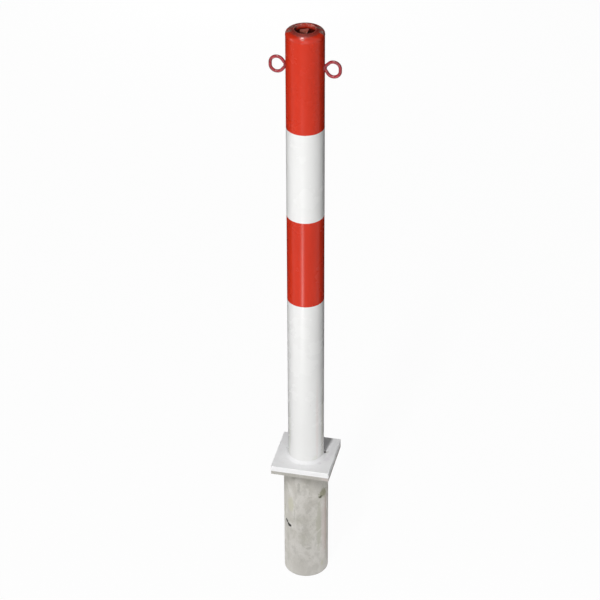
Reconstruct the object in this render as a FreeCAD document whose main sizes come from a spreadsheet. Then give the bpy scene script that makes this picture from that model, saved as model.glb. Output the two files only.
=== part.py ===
import FreeCAD, Part
import math
import os

import Sketcher

# Removable bollard: a painted steel post that stands in a ground sleeve and is locked
# there by a crossbar at its foot, turned with a three-sided key from the post's head.
# Millimetres. The origin is on the post's axis at the underside of the sleeve's flange,
# which bears on the paving; +Z is up and the two chain eyes lie along X.

doc = FreeCAD.newDocument("removable_bollard")
sheet = doc.addObject("Spreadsheet::Sheet", "sizes")

driving_sizes = {
    # post tube
    "post_radius": 38.05,
    "post_wall": 2.9,
    "post_rise": 1012.0,          # cover plate's top face to the key collar's rim
    "foot_depth": 225.0,          # ground line to the tube's lower end
    "foot_lead": 2.0,             # lead-in chamfer on the lower end
    # plates
    "plate_side": 125.0,
    "plate_corner": 1.5,
    "base_thickness": 12.0,
    "base_edge_break": 0.8,
    "base_hole_clearance": 0.25,
    "base_weld_leg": 6.0,
    "base_weld_hollow": 9.0,      # radius of the bead's hollowed face
    "weld_gap_right": 13.0,       # degrees from +X to the middle of the right gap
    "weld_gap_left": 174.0,       # degrees from +X to the middle of the left gap
    "weld_gap_angle": 9.0,        # degrees that each gap leaves open
    "flange_thickness": 8.0,
    "flange_hole_clearance": 0.95,
    # ground sleeve
    "sleeve_radius": 47.5,
    "sleeve_wall": 4.0,
    "sleeve_depth": 285.0,
    "sleeve_edge_break": 0.6,
    "spigot_step": 1.0,           # the upper end is turned down to fit the flange's recess
    "spigot_height": 4.0,
    "spigot_fit": 0.1,
    "flange_weld_leg": 3.0,       # groove weld, flush with the flange's underside
    # keeper in the sleeve
    "keeper_gap": 3.0,            # tube's lower end to the keeper
    "keeper_thickness": 8.0,
    "keeper_fit": 0.05,
    "keeper_slot_clearance": 2.0,
    "keeper_weld_leg": 5.0,
    # head
    "cap_wall": 2.9,
    "cap_skirt": 1.0,
    "knuckle_radius": 6.0,
    "crown_radius": 90.0,
    "seam_gap": 1.6,
    "seam_bead_width": 3.6,
    "seam_bead_height": 0.25,
    # key collar
    "collar_radius": 24.15,
    "collar_wall": 3.2,
    "collar_rise": 1.2,           # stands this much above the dome
    "collar_lip": 0.8,            # rounding of its upper edge
    "collar_weld_leg": 4.0,
    # lock spindle and its bearing
    "key_radius": 10.4,           # round bar that the three flats are cut from
    "key_flat": 6.0,              # axis to each flat
    "key_length": 18.0,
    "key_recess": 3.6,            # rim down to the key pin's top
    "key_chamfer": 1.0,
    "thrust_radius": 16.0,
    "thrust_thickness": 5.0,
    "bearing_thickness": 10.0,
    "bearing_fit": 0.05,
    "spindle_radius": 10.0,
    "spindle_running": 0.05,
    "spindle_tail": 34.0,         # bearing disc down to the spindle's lower end
    "spindle_float": 0.2,
    "stop_circle": 13.2,
    "stop_radius": 2.0,
    "stop_depth": 7.0,
    "stop_height": 4.4,
    "stop_clearance": 0.3,
    "thrust_washer_radius": 15.0,
    "thrust_washer_thickness": 1.5,
    "ring_thickness": 1.2,
    "ring_groove_depth": 0.6,
    "ring_width": 2.4,
    "ring_lug": 4.0,
    "ring_opening": 2.6,
    "ring_lug_width": 10.0,
    "ring_eye_radius": 1.0,
    # lock rod, its cross pin and its guides
    "rod_radius": 7.0,
    "rod_running": 0.05,
    "rod_chamfer": 1.0,
    "socket_depth": 22.0,
    "cross_pin_radius": 2.0,
    "cross_pin_wall": 0.8,
    "cross_pin_slot": 0.9,
    "guide_height": 480.0,
    "guide_thickness": 5.0,
    "guide_fit": 0.05,
    "bush_radius": 10.0,
    "bush_flange_radius": 14.0,
    "bush_flange": 2.0,
    "bush_tail": 3.0,
    "foot_disc_thickness": 8.0,
    "foot_weld_leg": 4.0,
    # latch bar at the rod's lower end
    "latch_width": 14.0,
    "latch_length": 60.0,
    "latch_thickness": 10.0,
    "latch_play": 1.5,            # keeper's underside to the latch bar
    "latch_square": 10.0,
    "latch_square_fit": 0.1,
    "stud_radius": 5.0,
    "stud_fit": 0.05,
    "stud_end": 2.5,
    "latch_washer_radius": 10.0,
    "latch_washer_thickness": 2.0,
    "nut_across_flats": 17.0,
    "nut_height": 8.0,
    # chain eyes
    "eye_drop": 81.0,             # key collar's rim down to the loop's middle
    "eye_rod_radius": 3.2,
    "eye_reach": 72.0,            # post's axis to the loop's outermost point
    "eye_bend": 13.2,             # bend radius at the rod's middle
    "eye_straight": 5.4,          # straight run between the two outer bends
    "eye_root_depth": 1.2,        # rod ends start this far inside the post's surface
    "right_root_rise": 2.4,       # loop's middle up to where its two rod ends meet
    "left_root_rise": -0.4,
    "eye_bead_reach": 4.6,
    "eye_bead_spread": 6.6,
}

for row, (alias, value) in enumerate(driving_sizes.items(), start=1):
    sheet.set("A%d" % row, alias)
    sheet.set("B%d" % row, str(value))
    sheet.setAlias("B%d" % row, alias)
doc.recompute()


class Size:
    # a number together with the sheet expression that gives it

    def __init__(self, number, text):
        self.number = number
        self.text = text

    def __add__(self, other):
        other = as_size(other)
        return Size(self.number + other.number, "(%s + %s)" % (self.text, other.text))

    def __sub__(self, other):
        other = as_size(other)
        return Size(self.number - other.number, "(%s - %s)" % (self.text, other.text))

    def __mul__(self, other):
        other = as_size(other)
        return Size(self.number * other.number, "%s * %s" % (self.text, other.text))

    def __truediv__(self, other):
        other = as_size(other)
        return Size(self.number / other.number, "%s / (%s)" % (self.text, other.text))

    def __neg__(self):
        return Size(-self.number, "(0 - %s)" % self.text)


def as_size(value):
    if isinstance(value, Size):
        return value
    return Size(float(value), repr(float(value)))


def root(size):
    return Size(math.sqrt(size.number), "sqrt(%s)" % size.text)


def from_sheet(alias):
    return Size(float(sheet.get(alias)), "sizes." + alias)


nothing = as_size(0)
full_turn = as_size(360)
overrun = 1.5                     # a cutter reaches this many times past the piece it cuts

post_radius = from_sheet("post_radius")
post_bore = post_radius - from_sheet("post_wall")
foot_end = -from_sheet("foot_depth")
flange_thickness = from_sheet("flange_thickness")
base_top = flange_thickness + from_sheet("base_thickness")
rim = base_top + from_sheet("post_rise")

sleeve_radius = from_sheet("sleeve_radius")
sleeve_bore = sleeve_radius - from_sheet("sleeve_wall")
sleeve_end = -from_sheet("sleeve_depth")
spigot_radius = sleeve_radius - from_sheet("spigot_step")
recess_radius = spigot_radius + from_sheet("spigot_fit")

collar_radius = from_sheet("collar_radius")
collar_bore = collar_radius - from_sheet("collar_wall")

# levels of the lock, from the key down
key_top = rim - from_sheet("key_recess")
key_base = key_top - from_sheet("key_length")
bearing_top = key_base - from_sheet("thrust_thickness")
bearing_bottom = bearing_top - from_sheet("bearing_thickness")
thrust_washer_top = bearing_bottom - from_sheet("spindle_float")
ring_top = thrust_washer_top - from_sheet("thrust_washer_thickness")
ring_bottom = ring_top - from_sheet("ring_thickness")
spindle_bottom = bearing_bottom - from_sheet("spindle_tail")
rod_top = spindle_bottom + from_sheet("socket_depth")
cross_pin_height = spindle_bottom + from_sheet("socket_depth") / 2
spindle_radius = from_sheet("spindle_radius")
rod_radius = from_sheet("rod_radius")
rod_guide_bore = rod_radius + from_sheet("rod_running")

# levels of the latch, from the tube's lower end down
keeper_top = foot_end - from_sheet("keeper_gap")
keeper_bottom = keeper_top - from_sheet("keeper_thickness")
latch_top = keeper_bottom - from_sheet("latch_play")
latch_bottom = latch_top - from_sheet("latch_thickness")
latch_washer_bottom = latch_bottom - from_sheet("latch_washer_thickness")
nut_bottom = latch_washer_bottom - from_sheet("nut_height")
stud_bottom = nut_bottom - from_sheet("stud_end")

eye_level = rim - from_sheet("eye_drop")


# Sketches and features

def origin_feature(body, role):
    for feature in body.Origin.OriginFeatures:
        if feature.Role == role:
            return feature
    raise RuntimeError("no %s in %s" % (role, body.Label))


def sketch_on(body, name, role, shift=None):
    # shift moves the sketch along its plane's normal on XY_Plane
    sketch = body.newObject("Sketcher::SketchObject", name)
    sketch.AttachmentSupport = [(origin_feature(body, role), "")]
    sketch.MapMode = "FlatFace"
    if shift is not None:
        sketch.setExpression(".AttachmentOffset.Base.z", shift.text)
    return sketch


def hold(sketch, edge, point, across, up):
    # ties one end of an edge to the sketch's origin
    for kind, axis, size in (("DistanceX", -2, across), ("DistanceY", -1, up)):
        if size.number == 0:
            sketch.addConstraint(Sketcher.Constraint("PointOnObject", edge, point, axis))
        else:
            index = sketch.addConstraint(Sketcher.Constraint(kind, -1, 1, edge, point, size.number))
            sketch.setExpression("Constraints[%d]" % index, size.text)


def hold_radius(sketch, edge, radius):
    index = sketch.addConstraint(Sketcher.Constraint("Radius", edge, radius.number))
    sketch.setExpression("Constraints[%d]" % index, radius.text)


def at(across, up):
    return FreeCAD.Vector(across.number, up.number, 0)


def arc_between(start, end, centre, radius):
    # the shorter arc; says whether it runs from start to end or back, since arcs run anticlockwise
    from_angle = math.atan2(start.y - centre.y, start.x - centre.x)
    to_angle = math.atan2(end.y - centre.y, end.x - centre.x)
    circle = Part.Circle(centre, FreeCAD.Vector(0, 0, 1), radius)
    forward = (to_angle - from_angle) % (2 * math.pi) <= math.pi
    if forward:
        return Part.ArcOfCircle(circle, from_angle, to_angle), True
    return Part.ArcOfCircle(circle, to_angle, from_angle), False


def draw_outline(sketch, corners, arcs=None):
    # closed outline; arcs gives (centre, radius) for the edges that aren't straight
    arcs = arcs or {}
    first_edge = sketch.GeometryCount
    count = len(corners)
    ends = []
    for index in range(count):
        start = at(*corners[index])
        end = at(*corners[(index + 1) % count])
        if index in arcs:
            centre, radius = arcs[index]
            arc, forward = arc_between(start, end, at(*centre), radius.number)
            edge = sketch.addGeometry(arc, False)
            ends.append((edge, 1, 2) if forward else (edge, 2, 1))
        else:
            edge = sketch.addGeometry(Part.LineSegment(start, end), False)
            ends.append((edge, 1, 2))
    for index in range(count):
        edge, _, last = ends[index]
        next_edge, next_first, _ = ends[(index + 1) % count]
        sketch.addConstraint(Sketcher.Constraint("Coincident", edge, last, next_edge, next_first))
    for index in range(count):
        edge, first, _ = ends[index]
        hold(sketch, edge, first, *corners[index])
    for index, (centre, radius) in arcs.items():
        hold_radius(sketch, first_edge + index, radius)


def draw_circle(sketch, across, up, radius):
    edge = sketch.addGeometry(Part.Circle(at(across, up), FreeCAD.Vector(0, 0, 1), radius.number), False)
    hold(sketch, edge, 3, across, up)
    hold_radius(sketch, edge, radius)


def draw_rectangle(sketch, left, right, low, high):
    draw_outline(sketch, [(left, low), (right, low), (right, high), (left, high)])


def new_body(label):
    body = doc.addObject("PartDesign::Body", label)
    body.Label = label
    return body


def feature_of(body, kind, name, sketch):
    feature = body.newObject("PartDesign::" + kind, name)
    feature.Profile = sketch
    sketch.Visibility = False
    return feature


def pad(body, name, sketch, length):
    feature = feature_of(body, "Pad", name, sketch)
    feature.setExpression("Length", length.text)
    return feature


def pocket(body, name, sketch, depth):
    # cuts below the sketch
    feature = feature_of(body, "Pocket", name, sketch)
    feature.setExpression("Length", depth.text)
    return feature


def pocket_across(body, name, sketch, width):
    # cuts to both sides of the sketch
    feature = feature_of(body, "Pocket", name, sketch)
    feature.Midplane = True
    feature.setExpression("Length", width.text)
    return feature


def revolve(body, name, sketch, kind="Revolution"):
    feature = feature_of(body, kind, name, sketch)
    feature.ReferenceAxis = (sketch, ["V_Axis"])
    feature.Angle = full_turn.number
    return feature


def turned(label, corners, arcs=None):
    # a piece turned about the post's axis; corners are (radius, height)
    body = new_body(label)
    sketch = sketch_on(body, label + "_section", "XZ_Plane")
    draw_outline(sketch, corners, arcs)
    revolve(body, label + "_turned", sketch)
    return body


def tube(label, inner, outer, bottom, top):
    return turned(label, [(inner, bottom), (outer, bottom), (outer, top), (inner, top)])


def cross_hole(body, label):
    # hole for the pin that joins spindle and rod, along Y
    sketch = sketch_on(body, label + "_cross_hole", "XZ_Plane")
    draw_circle(sketch, nothing, cross_pin_height, from_sheet("cross_pin_radius"))
    pocket_across(body, label + "_cross_drilled", sketch, spindle_radius * 2 * overrun)


def bar_outline(sketch, half_width, end_radius):
    # a bar along Y with ends rounded about the axis
    half_length = root(end_radius * end_radius - half_width * half_width)
    corners = [
        (half_width, -half_length),
        (half_width, half_length),
        (-half_width, half_length),
        (-half_width, -half_length),
    ]
    centre = (nothing, nothing)
    draw_outline(sketch, corners, {1: (centre, end_radius), 3: (centre, end_radius)})


# Plates

def square_plate(label, bottom, thickness, hole_radius):
    body = new_body(label)
    sketch = sketch_on(body, label + "_outline", "XY_Plane", bottom)
    half = from_sheet("plate_side") / 2
    corner = from_sheet("plate_corner")
    inner = half - corner
    corners = [
        (-inner, -half), (inner, -half),
        (half, -inner), (half, inner),
        (inner, half), (-inner, half),
        (-half, inner), (-half, -inner),
    ]
    arcs = {
        1: ((inner, -inner), corner),
        3: ((inner, inner), corner),
        5: ((-inner, inner), corner),
        7: ((-inner, -inner), corner),
    }
    draw_outline(sketch, corners, arcs)
    draw_circle(sketch, nothing, nothing, hole_radius)
    pad(body, label + "_plate", sketch, thickness)
    return body


def make_base_plate():
    clearance = from_sheet("base_hole_clearance")
    body = square_plate("base_plate", flange_thickness, from_sheet("base_thickness"), post_radius + clearance)
    doc.recompute()
    plate = body.Tip
    hair = 1e-6
    outer_edges = []
    for number, edge in enumerate(plate.Shape.Edges, start=1):
        box = edge.BoundBox
        on_top = abs(box.ZMin - base_top.number) < hair
        outside = max(abs(box.XMin), abs(box.XMax), abs(box.YMin), abs(box.YMax)) > sleeve_radius.number
        if on_top and outside:
            outer_edges.append("Edge%d" % number)
    edge_break = body.newObject("PartDesign::Chamfer", "base_plate_edge_break")
    edge_break.Base = (plate, outer_edges)
    edge_break.setExpression("Size", from_sheet("base_edge_break").text)
    return body


def make_flange_plate():
    hole_radius = post_radius + from_sheet("flange_hole_clearance")
    body = square_plate("flange_plate", nothing, flange_thickness, hole_radius)
    recess = sketch_on(body, "flange_plate_recess", "XZ_Plane")
    leg = from_sheet("flange_weld_leg")
    corners = [
        (post_radius, nothing),
        (recess_radius + leg, nothing),
        (recess_radius, leg),
        (recess_radius, from_sheet("spigot_height")),
        (post_radius, from_sheet("spigot_height")),
    ]
    draw_outline(recess, corners)
    revolve(body, "flange_plate_recessed", recess, "Groove")
    return body


def make_base_weld(label, from_angle, bead_angle):
    # hollowed fillet bead round the post's foot, from one gap to the next, angles in degrees
    body = new_body(label)
    sketch = sketch_on(body, label + "_section", "XZ_Plane")
    sketch.AttachmentOffset = FreeCAD.Placement(
        FreeCAD.Vector(0, 0, 0), FreeCAD.Rotation(FreeCAD.Vector(0, 1, 0), from_angle.number))
    sketch.setExpression(".AttachmentOffset.Rotation.Angle", from_angle.text)
    leg = from_sheet("base_weld_leg")
    hollow = from_sheet("base_weld_hollow")
    offset = leg / 2 + root((hollow * hollow - leg * leg / 2) / 2)
    centre = (post_radius + offset, base_top + offset)
    corners = [(post_radius, base_top), (post_radius + leg, base_top), (post_radius, base_top + leg)]
    draw_outline(sketch, corners, {1: (centre, hollow)})
    bead = revolve(body, label + "_bead", sketch)
    bead.setExpression("Angle", bead_angle.text)
    return body


# Ground sleeve and keeper

def make_ground_sleeve():
    edge = from_sheet("sleeve_edge_break")
    spigot_height = from_sheet("spigot_height")
    corners = [
        (sleeve_bore + edge, sleeve_end),
        (sleeve_radius - edge, sleeve_end),
        (sleeve_radius, sleeve_end + edge),
        (sleeve_radius, nothing),
        (spigot_radius, nothing),
        (spigot_radius, spigot_height),
        (sleeve_bore, spigot_height),
        (sleeve_bore, sleeve_end + edge),
    ]
    return turned("ground_sleeve", corners)


def make_flange_weld():
    leg = from_sheet("flange_weld_leg")
    corners = [
        (spigot_radius, nothing),
        (recess_radius + leg, nothing),
        (recess_radius, leg),
        (spigot_radius, leg),
    ]
    return turned("flange_weld", corners)


def make_keeper_plate():
    body = tube("keeper_plate", rod_radius, sleeve_bore - from_sheet("keeper_fit"), keeper_bottom, keeper_top)
    slot = sketch_on(body, "keeper_plate_slot", "XY_Plane", keeper_top)
    clearance = from_sheet("keeper_slot_clearance")
    bar_outline(slot, from_sheet("latch_width") / 2 + clearance, from_sheet("latch_length") / 2 + clearance)
    pocket(body, "keeper_plate_slotted", slot, from_sheet("keeper_thickness"))
    return body


def make_keeper_weld():
    leg = from_sheet("keeper_weld_leg")
    corners = [
        (sleeve_bore, keeper_bottom - leg),
        (sleeve_bore, keeper_bottom),
        (sleeve_bore - leg, keeper_bottom),
    ]
    return turned("keeper_weld", corners)


# Post tube and head

crown_radius = from_sheet("crown_radius")
knuckle_radius = from_sheet("knuckle_radius")
cap_wall = from_sheet("cap_wall")
dome_edge = rim - from_sheet("collar_rise")
crown_centre = dome_edge - root(crown_radius * crown_radius - collar_radius * collar_radius)
knuckle_offset = post_radius - knuckle_radius
crown_less_knuckle = crown_radius - knuckle_radius
knuckle_rise = root(crown_less_knuckle * crown_less_knuckle - knuckle_offset * knuckle_offset)
knuckle_centre = crown_centre + knuckle_rise
skirt_bottom = knuckle_centre - from_sheet("cap_skirt")
tube_top = skirt_bottom - from_sheet("seam_gap")
inner_crown = crown_radius - cap_wall


def dome_underside(radius):
    return crown_centre + root(inner_crown * inner_crown - radius * radius)


def make_post_tube():
    lead = from_sheet("foot_lead")
    corners = [
        (post_bore, foot_end),
        (post_radius - lead, foot_end),
        (post_radius, foot_end + lead),
        (post_radius, tube_top),
        (post_bore, tube_top),
    ]
    return turned("post_tube", corners)


def make_head_cap():
    # dished dome: the crown runs into the wall through a small knuckle radius
    axis_centre = (nothing, crown_centre)
    share = crown_radius / crown_less_knuckle
    corners = [
        (post_bore, skirt_bottom),
        (post_radius, skirt_bottom),
        (post_radius, knuckle_centre),
        (knuckle_offset * share, crown_centre + knuckle_rise * share),
        (collar_radius, dome_edge),
        (collar_radius, dome_underside(collar_radius)),
        (post_bore, dome_underside(post_bore)),
    ]
    arcs = {
        2: ((knuckle_offset, knuckle_centre), knuckle_radius),
        3: (axis_centre, crown_radius),
        5: (axis_centre, inner_crown),
    }
    return turned("head_cap", corners, arcs)


def make_head_seam_weld():
    # butt weld in the seam, ground down to a low flat bead outside
    half_bead = from_sheet("seam_bead_width") / 2
    middle = (tube_top + skirt_bottom) / 2
    proud = post_radius + from_sheet("seam_bead_height")
    corners = [
        (post_bore, tube_top),
        (post_radius, tube_top),
        (post_radius, middle - half_bead),
        (proud, tube_top),
        (proud, skirt_bottom),
        (post_radius, middle + half_bead),
        (post_radius, skirt_bottom),
        (post_bore, skirt_bottom),
    ]
    return turned("head_seam_weld", corners)


def make_key_collar():
    lip = from_sheet("collar_lip")
    corners = [
        (collar_bore, bearing_bottom),
        (collar_radius, bearing_bottom),
        (collar_radius, rim - lip),
        (collar_radius - lip, rim),
        (collar_bore + lip, rim),
        (collar_bore, rim - lip),
    ]
    arcs = {
        2: ((collar_radius - lip, rim - lip), lip),
        4: ((collar_bore + lip, rim - lip), lip),
    }
    return turned("key_collar", corners, arcs)


def make_collar_weld():
    leg = from_sheet("collar_weld_leg")
    at_collar = dome_underside(collar_radius)
    corners = [
        (collar_radius, at_collar - leg),
        (collar_radius + leg, dome_underside(collar_radius + leg)),
        (collar_radius, at_collar),
    ]
    return turned("collar_weld", corners)


# Lock: bearing, spindle, rod and latch

def make_bearing_disc():
    bore = spindle_radius + from_sheet("spindle_running")
    body = tube("bearing_disc", bore, collar_bore - from_sheet("bearing_fit"), bearing_bottom, bearing_top)
    hole = sketch_on(body, "bearing_disc_stop_hole", "XY_Plane", bearing_top)
    draw_circle(hole, nothing, from_sheet("stop_circle"), from_sheet("stop_radius"))
    pocket(body, "bearing_disc_drilled", hole, from_sheet("stop_depth"))
    return body


def make_stop_pin():
    pin = doc.addObject("Part::Cylinder", "stop_pin")
    pin.setExpression("Radius", from_sheet("stop_radius").text)
    pin.setExpression("Height", (from_sheet("stop_depth") + from_sheet("stop_height")).text)
    pin.setExpression(".Placement.Base.y", from_sheet("stop_circle").text)
    pin.setExpression(".Placement.Base.z", (bearing_top - from_sheet("stop_depth")).text)
    return pin


def make_lock_spindle():
    key_radius = from_sheet("key_radius")
    chamfer = from_sheet("key_chamfer")
    thrust_radius = from_sheet("thrust_radius")
    groove_radius = spindle_radius - from_sheet("ring_groove_depth")
    socket_radius = rod_guide_bore
    corners = [
        (nothing, key_top),
        (nothing, rod_top),
        (socket_radius, rod_top),
        (socket_radius, spindle_bottom),
        (spindle_radius, spindle_bottom),
        (spindle_radius, ring_bottom),
        (groove_radius, ring_bottom),
        (groove_radius, ring_top),
        (spindle_radius, ring_top),
        (spindle_radius, bearing_top),
        (thrust_radius, bearing_top),
        (thrust_radius, key_base),
        (key_radius, key_base),
        (key_radius, key_top - chamfer),
        (key_radius - chamfer, key_top),
    ]
    body = turned("lock_spindle", corners)

    # one flat beside the key pin, then two more round the axis
    flat = sketch_on(body, "lock_spindle_flat", "XY_Plane", key_top)
    draw_rectangle(flat, from_sheet("key_flat"), key_radius * overrun, -key_radius, key_radius)
    first_flat = pocket(body, "lock_spindle_first_flat", flat, from_sheet("key_length"))
    doc.recompute()
    flats = body.newObject("PartDesign::PolarPattern", "lock_spindle_flats")
    flats.Originals = [first_flat]
    flats.Axis = (origin_feature(body, "Z_Axis"), [""])
    flats.Angle = full_turn.number
    flats.Occurrences = 3
    body.Tip = flats
    doc.recompute()

    # quarter of the thrust collar cut away, so that the stop pin ends the turn at both sides
    side = from_sheet("stop_radius") + from_sheet("stop_clearance")
    inner = from_sheet("stop_circle") - side
    beside = root(inner * inner - side * side)
    notch = sketch_on(body, "lock_spindle_notch", "XY_Plane", key_base)
    corners = [
        (-side, beside),
        (-side, thrust_radius),
        (thrust_radius, thrust_radius),
        (thrust_radius, -side),
        (beside, -side),
    ]
    draw_outline(notch, corners, {4: ((nothing, nothing), inner)})
    pocket(body, "lock_spindle_notched", notch, from_sheet("thrust_thickness"))
    cross_hole(body, "lock_spindle")
    return body


def make_spindle_washer():
    bore = spindle_radius + from_sheet("spindle_running")
    return tube("spindle_washer", bore, from_sheet("thrust_washer_radius"), ring_top, thrust_washer_top)


def make_retaining_ring():
    # open ring with two lugs that have eyes for pliers
    inner = spindle_radius - from_sheet("ring_groove_depth")
    outer = inner + from_sheet("ring_width")
    lug_end = -(outer + from_sheet("ring_lug"))
    half_lug = from_sheet("ring_lug_width") / 2
    half_opening = from_sheet("ring_opening") / 2
    thickness = from_sheet("ring_thickness")
    body = tube("retaining_ring", inner, outer, ring_bottom, ring_top)
    lugs = sketch_on(body, "retaining_ring_lugs", "XY_Plane", ring_bottom)
    lug_root = -(inner + from_sheet("ring_width") / 2)
    draw_rectangle(lugs, -half_lug, half_lug, lug_end, lug_root)
    pad(body, "retaining_ring_lugged", lugs, thickness)
    opening = sketch_on(body, "retaining_ring_opening", "XY_Plane", ring_top)
    draw_rectangle(opening, -half_opening, half_opening, lug_end * overrun, -(inner / overrun))
    pocket(body, "retaining_ring_opened", opening, thickness)
    eyes = sketch_on(body, "retaining_ring_eyes", "XY_Plane", ring_top)
    eye_across = (half_lug + half_opening) / 2
    eye_up = (lug_end - outer) / 2
    for across in (eye_across, -eye_across):
        draw_circle(eyes, across, eye_up, from_sheet("ring_eye_radius"))
    pocket(body, "retaining_ring_drilled", eyes, thickness)
    return body


def make_spindle_roll_pin():
    # slotted spring pin along Y
    radius = from_sheet("cross_pin_radius")
    half_slot = from_sheet("cross_pin_slot") / 2
    body = new_body("spindle_roll_pin")
    section = sketch_on(body, "spindle_roll_pin_section", "XZ_Plane")
    draw_circle(section, nothing, cross_pin_height, radius)
    draw_circle(section, nothing, cross_pin_height, radius - from_sheet("cross_pin_wall"))
    length = pad(body, "spindle_roll_pin_rolled", section, spindle_radius * 2)
    length.Midplane = True
    slot = sketch_on(body, "spindle_roll_pin_slot", "XZ_Plane")
    draw_rectangle(slot, -half_slot, half_slot, cross_pin_height, cross_pin_height + radius * 2)
    pocket_across(body, "spindle_roll_pin_slotted", slot, spindle_radius * 2)
    return body


def make_lock_rod():
    # round bar with a square for the latch bar and a threaded end for its nut
    chamfer = from_sheet("rod_chamfer")
    stud_radius = from_sheet("stud_radius")
    corners = [
        (nothing, stud_bottom),
        (stud_radius - chamfer, stud_bottom),
        (stud_radius, stud_bottom + chamfer),
        (stud_radius, latch_bottom),
        (rod_radius, latch_bottom),
        (rod_radius, rod_top - chamfer),
        (rod_radius - chamfer, rod_top),
        (nothing, rod_top),
    ]
    body = turned("lock_rod", corners)
    flats = sketch_on(body, "lock_rod_square", "XY_Plane", latch_top)
    half = from_sheet("latch_square") / 2
    draw_circle(flats, nothing, nothing, rod_radius * overrun)
    draw_rectangle(flats, -half, half, -half, half)
    pocket(body, "lock_rod_squared", flats, from_sheet("latch_thickness"))
    cross_hole(body, "lock_rod")
    return body


def make_latch_bar():
    body = new_body("latch_bar")
    sketch = sketch_on(body, "latch_bar_outline", "XY_Plane", latch_bottom)
    half_square = from_sheet("latch_square") / 2 + from_sheet("latch_square_fit")
    bar_outline(sketch, from_sheet("latch_width") / 2, from_sheet("latch_length") / 2)
    draw_rectangle(sketch, -half_square, half_square, -half_square, half_square)
    pad(body, "latch_bar_solid", sketch, from_sheet("latch_thickness"))
    return body


def make_latch_washer():
    bore = from_sheet("stud_radius") + from_sheet("stud_fit")
    return tube("latch_washer", bore, from_sheet("latch_washer_radius"), latch_washer_bottom, latch_bottom)


def make_latch_nut():
    body = new_body("latch_nut")
    sketch = sketch_on(body, "latch_nut_outline", "XY_Plane", nut_bottom)
    flat = from_sheet("nut_across_flats") / 2
    half_side = flat / root(as_size(3))
    corners = [
        (flat, -half_side), (flat, half_side),
        (nothing, half_side * 2),
        (-flat, half_side), (-flat, -half_side),
        (nothing, -(half_side * 2)),
    ]
    draw_outline(sketch, corners)
    draw_circle(sketch, nothing, nothing, from_sheet("stud_radius") + from_sheet("stud_fit"))
    pad(body, "latch_nut_solid", sketch, from_sheet("nut_height"))
    return body


# Guides in the post tube

def flanged_bush(label, disc_bottom, disc_top, flange_below):
    # plain bush through a disc, with its flange against one face of the disc
    bush_radius = from_sheet("bush_radius")
    flange_radius = from_sheet("bush_flange_radius")
    flange = from_sheet("bush_flange")
    tail = from_sheet("bush_tail")
    if flange_below:
        low, high, flange_edge = disc_bottom - flange, disc_top + tail, disc_bottom
        corners = [
            (rod_guide_bore, low), (flange_radius, low),
            (flange_radius, flange_edge), (bush_radius, flange_edge),
            (bush_radius, high), (rod_guide_bore, high),
        ]
    else:
        low, high, flange_edge = disc_bottom - tail, disc_top + flange, disc_top
        corners = [
            (rod_guide_bore, low), (bush_radius, low),
            (bush_radius, flange_edge), (flange_radius, flange_edge),
            (flange_radius, high), (rod_guide_bore, high),
        ]
    return turned(label, corners)


guide_bottom = from_sheet("guide_height")
guide_top = guide_bottom + from_sheet("guide_thickness")
foot_disc_bottom = foot_end + from_sheet("foot_weld_leg")
foot_disc_top = foot_disc_bottom + from_sheet("foot_disc_thickness")
disc_radius = post_bore - from_sheet("guide_fit")


def make_foot_weld():
    leg = from_sheet("foot_weld_leg")
    corners = [
        (post_bore, foot_end),
        (post_bore, foot_disc_bottom),
        (post_bore - leg, foot_disc_bottom),
    ]
    return turned("foot_weld", corners)


# Chain eyes

def eye_half(body, label, side, root_rise):
    # path from the loop's outermost point to one rod end; side is 1 above and -1 below
    bend = from_sheet("eye_bend")
    half_straight = from_sheet("eye_straight") / 2
    outer = from_sheet("eye_reach") - from_sheet("eye_rod_radius")
    root_across = post_radius - from_sheet("eye_root_depth")
    root_level = eye_level + root_rise

    centre_x = outer.number - bend.number
    bend_level = eye_level.number + side * half_straight.number
    root_x = root_across.number
    root_z = root_level.number
    to_centre = math.hypot(centre_x - root_x, bend_level - root_z)
    slope = math.atan2(side * (bend_level - root_z), centre_x - root_x)
    slope += math.asin(bend.number / to_centre)
    touch_angle = math.pi / 2 + slope
    touch = FreeCAD.Vector(centre_x + bend.number * math.cos(touch_angle),
                           bend_level + side * bend.number * math.sin(touch_angle), 0)
    outer_low = FreeCAD.Vector(outer.number, eye_level.number, 0)
    outer_high = FreeCAD.Vector(outer.number, bend_level, 0)
    bend_centre = FreeCAD.Vector(centre_x, bend_level, 0)

    path = sketch_on(body, label + "_path", "XZ_Plane")
    straight = path.addGeometry(Part.LineSegment(outer_low, outer_high), False)
    arc, _ = arc_between(outer_high, touch, bend_centre, bend.number)
    curve = path.addGeometry(arc, False)
    leg = path.addGeometry(Part.LineSegment(touch, FreeCAD.Vector(root_x, root_z, 0)), False)
    arc_start, arc_end = (1, 2) if side > 0 else (2, 1)
    path.addConstraint(Sketcher.Constraint("Tangent", straight, 2, curve, arc_start))
    path.addConstraint(Sketcher.Constraint("Tangent", curve, arc_end, leg, 1))
    path.addConstraint(Sketcher.Constraint("Vertical", straight))
    hold(path, straight, 1, outer, eye_level)
    hold(path, leg, 2, root_across, root_level)
    hold_radius(path, curve, bend)
    run = path.addConstraint(Sketcher.Constraint("Distance", straight, half_straight.number))
    path.setExpression("Constraints[%d]" % run, half_straight.text)
    return path


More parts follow.
